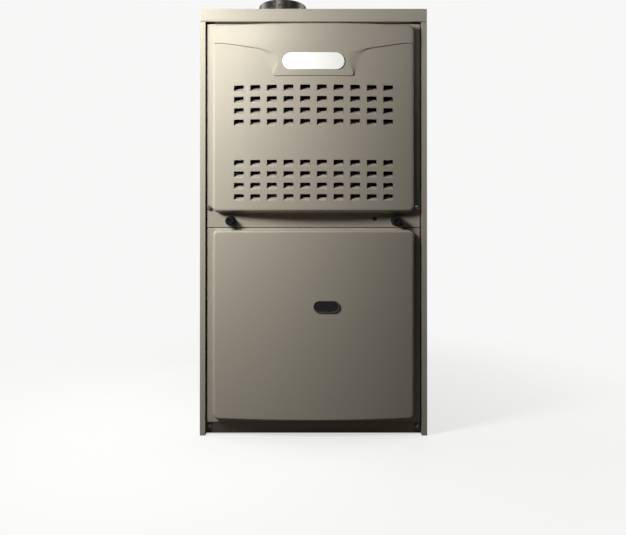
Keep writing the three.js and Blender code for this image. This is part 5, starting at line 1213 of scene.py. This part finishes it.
class FURNACE_OT_flue(bpy.types.Operator):
    """Makes the flue collar with its bead"""

    bl_idname = "furnace.flue"
    bl_label = "Flue collar"

    def execute(self, context):
        low, high = span("flue_collar")
        base, top = low.z, high.z
        outer, wall, rim = 50.6, 0.7, 65.8
        bead = top - context.scene.furnace_pieces.bead_drop / MM
        foot = [(outer, CAP_Z), (rim, CAP_Z), (rim, CAP_Z + 0.9), (outer + 1.2, CAP_Z + 1.0),
                (outer + 0.2, CAP_Z + 1.6), (outer - 0.3, CAP_Z + 3.4)]
        tube = [(outer - 0.3, bead - 2.0), (outer - 0.1, bead - 1.1), (outer + 0.2, bead),
                (outer - 0.1, bead + 1.1), (outer - 0.3, bead + 2.0), (outer - 0.4, top - 0.3)]
        inside = [(r - wall, z) for r, z in reversed(tube)]
        profile = [(outer, base), *foot, *tube, (outer - 0.7, top), *inside, (outer - wall, base)]
        x, y, _ = middle("flue_collar")
        collar = lathe([*profile, profile[0]], 160, "z", (x, y, 0))
        solid_piece("flue_pipe_collar", collar, "root", "flue_steel", ["flue_collar"], sharp=45)
        return {"FINISHED"}


# ---- Repeated pieces by geometry nodes ----


def copies_tree(name, inputs, fill):
    """A geometry node tree with named inputs that puts copies of a shape on points, as its function says."""
    tree = bpy.data.node_groups.new(name, "GeometryNodeTree")
    kinds = {int: "NodeSocketInt", float: "NodeSocketFloat"}
    tree.interface.new_socket("Geometry", in_out="INPUT", socket_type="NodeSocketGeometry")
    for label, value in inputs.items():
        socket = tree.interface.new_socket(label, in_out="INPUT", socket_type=kinds[type(value)])
        socket.default_value = value
    tree.interface.new_socket("Finish", in_out="INPUT", socket_type="NodeSocketMaterial")
    tree.interface.new_socket("Geometry", in_out="OUTPUT", socket_type="NodeSocketGeometry")
    given = tree.nodes.new("NodeGroupInput").outputs
    spread = add_node(tree, "GeometryNodeInstanceOnPoints", fill(tree, given))
    real = add_node(tree, "GeometryNodeRealizeInstances", {0: spread.outputs[0]})
    finished = {"Geometry": real.outputs[0], "Material": given["Finish"]}
    finish = add_node(tree, "GeometryNodeSetMaterial", finished)
    add_node(tree, "NodeGroupOutput", {0: finish.outputs[0]})
    return tree


SCREW_SIZES = {"Head radius": 0.0042, "Head height": 0.0032, "Washer radius": 0.005, "Washer height": 0.0008,
               "Shank radius": 0.0019, "Shank length": 0.02}


def screws(tree, given):
    """A hex head screw with a washer face on each point of the mesh."""

    def scaled(value, factor):
        return math_node(tree, "MULTIPLY", value, factor)

    def cylinder(sides, radius, top, depth, height):
        inputs = {"Vertices": sides, "Radius Bottom": radius, "Radius Top": top, "Depth": depth}
        cone = add_node(tree, "GeometryNodeMeshCone", inputs).outputs["Mesh"]
        offset = add_node(tree, "ShaderNodeCombineXYZ", {"Z": height}).outputs[0]
        return add_node(tree, "GeometryNodeTransform", {"Geometry": cone, "Translation": offset}).outputs[0]

    head, tall, washer, thick, shank, depth = (given[label] for label in SCREW_SIZES)
    body, crown = scaled(tall, 0.82), scaled(tall, 0.18)
    shapes = [
        cylinder(28, washer, scaled(washer, 0.93), thick, 0.0),
        cylinder(6, head, head, body, thick),
        cylinder(6, head, scaled(head, 0.84), crown, math_node(tree, "ADD", thick, body)),
        cylinder(14, shank, shank, depth, scaled(depth, -1.0)),
    ]
    join = add_node(tree, "GeometryNodeJoinGeometry")
    for shape in shapes:
        tree.links.new(shape, join.inputs[0])
    points = add_node(tree, "GeometryNodeMeshToPoints", {"Mesh": given["Geometry"]}).outputs[0]
    return {"Points": points, "Instance": join.outputs[0], "Rotation": (math.radians(90), 0, 0)}


def ring_of_copies(tree, given):
    """Copies of the mesh round a circle, each copy's X axis pointing outwards."""
    inputs = {"Vertices": given["Count"], "Radius": given["Radius"]}
    circle_mesh = add_node(tree, "GeometryNodeMeshCircle", inputs).outputs[0]
    place = add_node(tree, "GeometryNodeInputPosition").outputs[0]
    turn = add_node(tree, "FunctionNodeAlignRotationToVector", {"Vector": place}, axis="X", pivot_axis="Z")
    return {"Points": circle_mesh, "Instance": given["Geometry"], "Rotation": turn.outputs[0]}


def run_tree(name, mesh, tree, values):
    """The mesh that a geometry node tree makes from a mesh, with its inputs set by identifier."""
    obj = bpy.data.objects.new(name, mesh)
    bpy.context.scene.collection.objects.link(obj)
    modifier = obj.modifiers.new("Tree", "NODES")
    modifier.node_group = tree
    for item in tree.interface.items_tree:
        if item.item_type == "SOCKET" and item.in_out == "INPUT" and item.name in values:
            modifier[item.identifier] = values[item.name]
    bake(obj)
    result = obj.data.copy()
    bpy.data.objects.remove(obj)
    return result


class FURNACE_OT_blower(bpy.types.Operator):
    """Makes the squirrel-cage wheel and the motor that turns it"""

    bl_idname = "furnace.blower"
    bl_label = "Blower wheel and motor"

    def execute(self, context):
        self.wheel(context.scene.furnace_pieces)
        self.motor()
        return {"FINISHED"}

    def blade(self, low, high, depth, chord):
        """One forward-curved blade: an arc in the wheel's plane, drawn out along the axle."""
        steps, bow, thickness = 7, 5.0, 0.45
        shares = [k / steps for k in range(steps + 1)]
        arc_points = [(-chord * (1 - t), bow * math.sin(math.pi * t * 0.62) + depth * t) for t in shares]
        rows = [[(x, y + side, z) for x, y in arc_points] for side in (0.0, thickness) for z in (low, high)]
        points = []
        a, b, c, d = (added(points, row) for row in rows)
        faces = bridge(a, b, closed=False) + bridge(d, c, closed=False)
        faces += bridge(c, a, closed=False) + bridge(b, d, closed=False)
        return points, [*faces, (a[0], b[0], d[0], c[0]), (a[-1], c[-1], d[-1], b[-1])]

    def wheel(self, sizes):
        low, high = span("blower_wheel")
        radius = (high.z - low.z) / 2
        half = (high.x - low.x) / 2
        tree = copies_tree("Ring of copies", {"Count": 12, "Radius": 0.1}, ring_of_copies)
        values = {"Count": sizes.blades, "Radius": (radius - 2.2) * MM,
                  "Finish": bpy.data.materials["galvanised_sheet"]}
        end_ring = [(4.5, 0), (1.2, 0), (0.2, 0.8), (0, 7.0), (0.8, 7.0), (1.1, 1.6), (4.5, 1.2), (4.5, 0)]
        shapes = []
        for side in (-1, 1):
            reach = sorted((side * 1.2, side * (half - 1.5)))
            blade = new_mesh("blade", *self.blade(*reach, depth=3.0, chord=23.0))
            shapes.append(mesh_shape(run_tree("blades", blade, tree, values)))
            shapes.append(lathe([(radius - r, side * (half - back)) for r, back in end_ring], 156, "z"))
        disc = [(8.2, 1.0), (30, 1.0), (34, 3.6), (78, 3.6), (82, 1.0), (radius - 0.6, 1.0),
                (radius - 0.2, 0.0), (radius - 0.6, -1.0), (82, -1.0), (78, 1.8), (34, 1.8), (30, -1.0),
                (17, -1.0), (15.5, -2.2), (15.5, -23.0), (14.5, -24.0), (8.2, -24.0), (8.2, 1.0)]
        shapes.append(lathe(disc, 104, "z"))
        _, y, z = middle("blower_wheel")
        across = Matrix.Translation((0, y, z)) @ Matrix.Rotation(math.radians(90), 4, "Y")
        solid_piece("blower_cage_wheel", moved(joined(*shapes), across), "blower_rotor", "galvanised_sheet",
                    ["blower_wheel"], sharp=40)

    def motor(self):
        low, high = span("blower_motor")
        radius = (high.z - low.z) / 2
        bore, wide = 7.2, radius - 1.2
        left = [(bore, 0), (20, 0), (22, 1), (24, 6), (40, 8), (46, 9), (58, 13), (65, 19), (wide, 24),
                (wide, 28), (radius, 29)]
        right = [(radius, 30), (wide, 29), (wide, 24), (65, 18), (58, 12), (46, 7), (26, 4), (24, 0), (0, 0),
                 (0, 10), (bore, 10)]
        profile = [(r, low.x + along) for r, along in left] + [(r, high.x - along) for r, along in right]
        _, y, z = middle("blower_motor")
        case = lathe([*profile, profile[0]], 96, "x", (0, y, z))
        solid_piece("blower_motor_case", case, "root", "black_enamel", ["blower_motor"], sharp=38)


class FURNACE_OT_screws(bpy.types.Operator):
    """Puts the hex head screws in the doors and the bottom rail"""

    bl_idname = "furnace.screws"
    bl_label = "Screws"

    def execute(self, context):
        tree = copies_tree("Hex screws", SCREW_SIZES, screws)
        head = 4.0
        for kind, body in (("door", "upper_door"), ("base", "root")):
            nodes = [f"{kind}_screw_{side}" for side in ("left", "right")]
            low, high = span(nodes[1])
            spots = [(middle(node)[0], span(node)[0].y + head, middle(node)[2]) for node in nodes]
            values = {"Finish": bpy.data.materials["zinc"], "Shank length": (high.y - low.y - head) * MM}
            mesh = run_tree(f"{kind}_screw_points", new_mesh("points", spots, []), tree, values)
            piece(f"{kind}_screws", mesh, body, "zinc", nodes, bevel=0.12, sharp=30)
        return {"FINISHED"}


# ---- Stage ----


LAMPS = [
    # name, place, target, size, whose power, share of that power, only mirrored (True) or never (None)
    ("Key", (-0.67, -0.80, 0.89), (-0.05, -0.34, 0.58), (0.26, 0.26), "key", 1.0, None),
    ("Sheen left", (-0.48, -1.35, 1.29), (-0.135, -0.35, 0.785), (0.27, 0.20), "sheen", 1.0, True),
    ("Sheen right", (0.64, -1.35, 1.29), (0.17, -0.35, 0.785), (0.12, 0.20), "sheen", 0.12, True),
    ("Side left", (-1.6, 0.22, 0.95), (0.0, 0.1, 0.45), (0.8, 1.1), "side", 1.0, False),
    ("Side right", (1.6, 0.22, 0.95), (0.0, 0.1, 0.45), (0.8, 1.1), "side", 1.0, False),
    ("Back", (0.3, 2.2, 1.2), (0.0, 0.36, 0.45), (1.4, 1.0), "side", 1.2, False),
]
LAMP_COLOUR = (1.0, 0.99, 0.96)
ROOM_COLOUR = (1.0, 0.99, 0.97)
BACKDROP = (0.93, 0.93, 0.925)
FLOOR_COLOUR = (0.80, 0.80, 0.79)
FLOOR_BOUNCE = (0.08, 0.077, 0.074)  # what the furnace gets back from the floor
FLOOR_SIZE = 9.0


class FURNACE_OT_stage(bpy.types.Operator):
    """Sets the camera, the lamps, the floor and the backdrop"""

    bl_idname = "furnace.stage"
    bl_label = "Stage"

    def execute(self, context):
        stage = context.scene.furnace_stage
        scene = context.scene
        scene.view_settings.view_transform = "Standard"
        self.camera(scene, stage)
        for name, place, target, size, kind, share, mirrored in LAMPS:
            self.lamp(name, place, target, size, getattr(stage, f"{kind}_power") * share, mirrored)
        self.world(scene, stage)
        self.floor()
        return {"FINISHED"}

    def camera(self, scene, stage):
        data = bpy.data.cameras.new("Camera")
        data.lens = stage.lens
        data.sensor_width = 36.0
        data.shift_y = stage.shift_y
        data.shift_x = -0.0008
        camera = bpy.data.objects.new("Camera", data)
        camera.location = (0.0, FRONT_Y * MM - stage.camera_distance, stage.camera_height)
        camera.rotation_euler = (math.radians(90) + stage.camera_pitch, 0.0, 0.0)
        scene.collection.objects.link(camera)
        scene.camera = camera

    def lamp(self, name, place, target, size, power, mirrored):
        """A soft rectangular lamp, which lights matt surfaces, shows in gloss, or does both."""
        data = bpy.data.lights.new(name, "AREA")
        data.shape = "RECTANGLE"
        data.size, data.size_y = size
        data.energy = power
        data.color = LAMP_COLOUR
        lamp = bpy.data.objects.new(name, data)
        lamp.visible_diffuse = not mirrored
        lamp.visible_glossy = mirrored is not None
        lamp.location = place
        lamp.rotation_euler = (Vector(target) - Vector(place)).to_track_quat("-Z", "Y").to_euler()
        bpy.context.scene.collection.objects.link(lamp)

    def world(self, scene, stage):
        """Weak light from all round. The camera sees a pale backdrop in its place."""
        world = bpy.data.worlds.new("Studio")
        scene.world = world
        world.use_nodes = True
        tree = world.node_tree
        tree.nodes.clear()
        light = add_node(tree, "ShaderNodeBackground", {"Color": ROOM_COLOUR, "Strength": stage.ambient})
        shown = add_node(tree, "ShaderNodeBackground", {"Color": BACKDROP})
        camera = add_node(tree, "ShaderNodeLightPath").outputs["Is Camera Ray"]
        mixed = mix_shader(tree, camera, light.outputs[0], shown.outputs[0])
        add_node(tree, "ShaderNodeOutputWorld", {"Surface": mixed})

    def floor(self):
        """A pale floor that runs into the backdrop. Only the camera sees it so, the rest a weak bounce."""
        mesh = bpy.data.meshes.new("floor")
        corners = [(x * FLOOR_SIZE, y * FLOOR_SIZE, 0) for x, y in ((-1, -1), (1, -1), (1, 1), (-1, 1))]
        mesh.from_pydata(corners, [], [(0, 1, 2, 3)])
        floor = bpy.data.objects.new("floor", mesh)
        bpy.context.scene.collection.objects.link(floor)
        material = bpy.data.materials.new("pale_floor")
        material.use_nodes = True
        tree = material.node_tree
        shader = tree.nodes["Principled BSDF"]
        feed(tree, shader.inputs["Base Color"], FLOOR_COLOUR)
        feed(tree, shader.inputs["Roughness"], 0.85)
        glow = add_node(tree, "ShaderNodeEmission", {"Color": BACKDROP})
        reach = add_node(tree, "ShaderNodeVectorMath", {0: object_vector(tree)}, operation="LENGTH")
        far = range_node(tree, reach.outputs["Value"], 0.3, 1.1, 0.7, 1.0, "SMOOTHSTEP")
        camera = add_node(tree, "ShaderNodeLightPath").outputs["Is Camera Ray"]
        seen = math_node(tree, "MULTIPLY", far, camera)
        shown = mix_shader(tree, seen, shader.outputs[0], glow.outputs[0])
        weak = add_node(tree, "ShaderNodeBsdfDiffuse", {"Color": FLOOR_BOUNCE})
        mixed = mix_shader(tree, camera, weak.outputs[0], shown)
        feed(tree, tree.nodes["Material Output"].inputs["Surface"], mixed)
        mesh.materials.append(material)


# ---- Panel and registration ----


OPERATORS = [
    FURNACE_OT_finishes,
    FURNACE_OT_cabinet,
    FURNACE_OT_doors,
    FURNACE_OT_trim,
    FURNACE_OT_screws,
    FURNACE_OT_flue,
    FURNACE_OT_blower,
    FURNACE_OT_stage,
]


class FURNACE_PT_parts(bpy.types.Panel):
    """The furnace's settings and the buttons that build its pieces"""

    bl_idname = "FURNACE_PT_parts"
    bl_label = "Furnace"
    bl_space_type = "VIEW_3D"
    bl_region_type = "UI"
    bl_category = "Furnace"

    def draw(self, context):
        scene = context.scene
        for settings in (scene.furnace_door, scene.furnace_pieces, scene.furnace_finish, scene.furnace_stage):
            box = self.layout.box()
            for key in settings.__annotations__:
                box.prop(settings, key)
        for operator in OPERATORS:
            self.layout.operator(operator.bl_idname)


SETTINGS = {
    "furnace_door": FurnaceDoorSettings,
    "furnace_pieces": FurnacePieceSettings,
    "furnace_finish": FurnaceFinishSettings,
    "furnace_stage": FurnaceStageSettings,
}


def register():
    for cls in [*SETTINGS.values(), *OPERATORS, FURNACE_PT_parts]:
        bpy.utils.register_class(cls)
    for name, cls in SETTINGS.items():
        setattr(bpy.types.Scene, name, bpy.props.PointerProperty(type=cls))


def unregister():
    for name in SETTINGS:
        delattr(bpy.types.Scene, name)
    for cls in reversed([*SETTINGS.values(), *OPERATORS, FURNACE_PT_parts]):
        bpy.utils.unregister_class(cls)


def main():
    register()
    for operator in OPERATORS:
        family, name = operator.bl_idname.split(".")
        getattr(getattr(bpy.ops, family), name)()


if __name__ == "__main__":
    main()
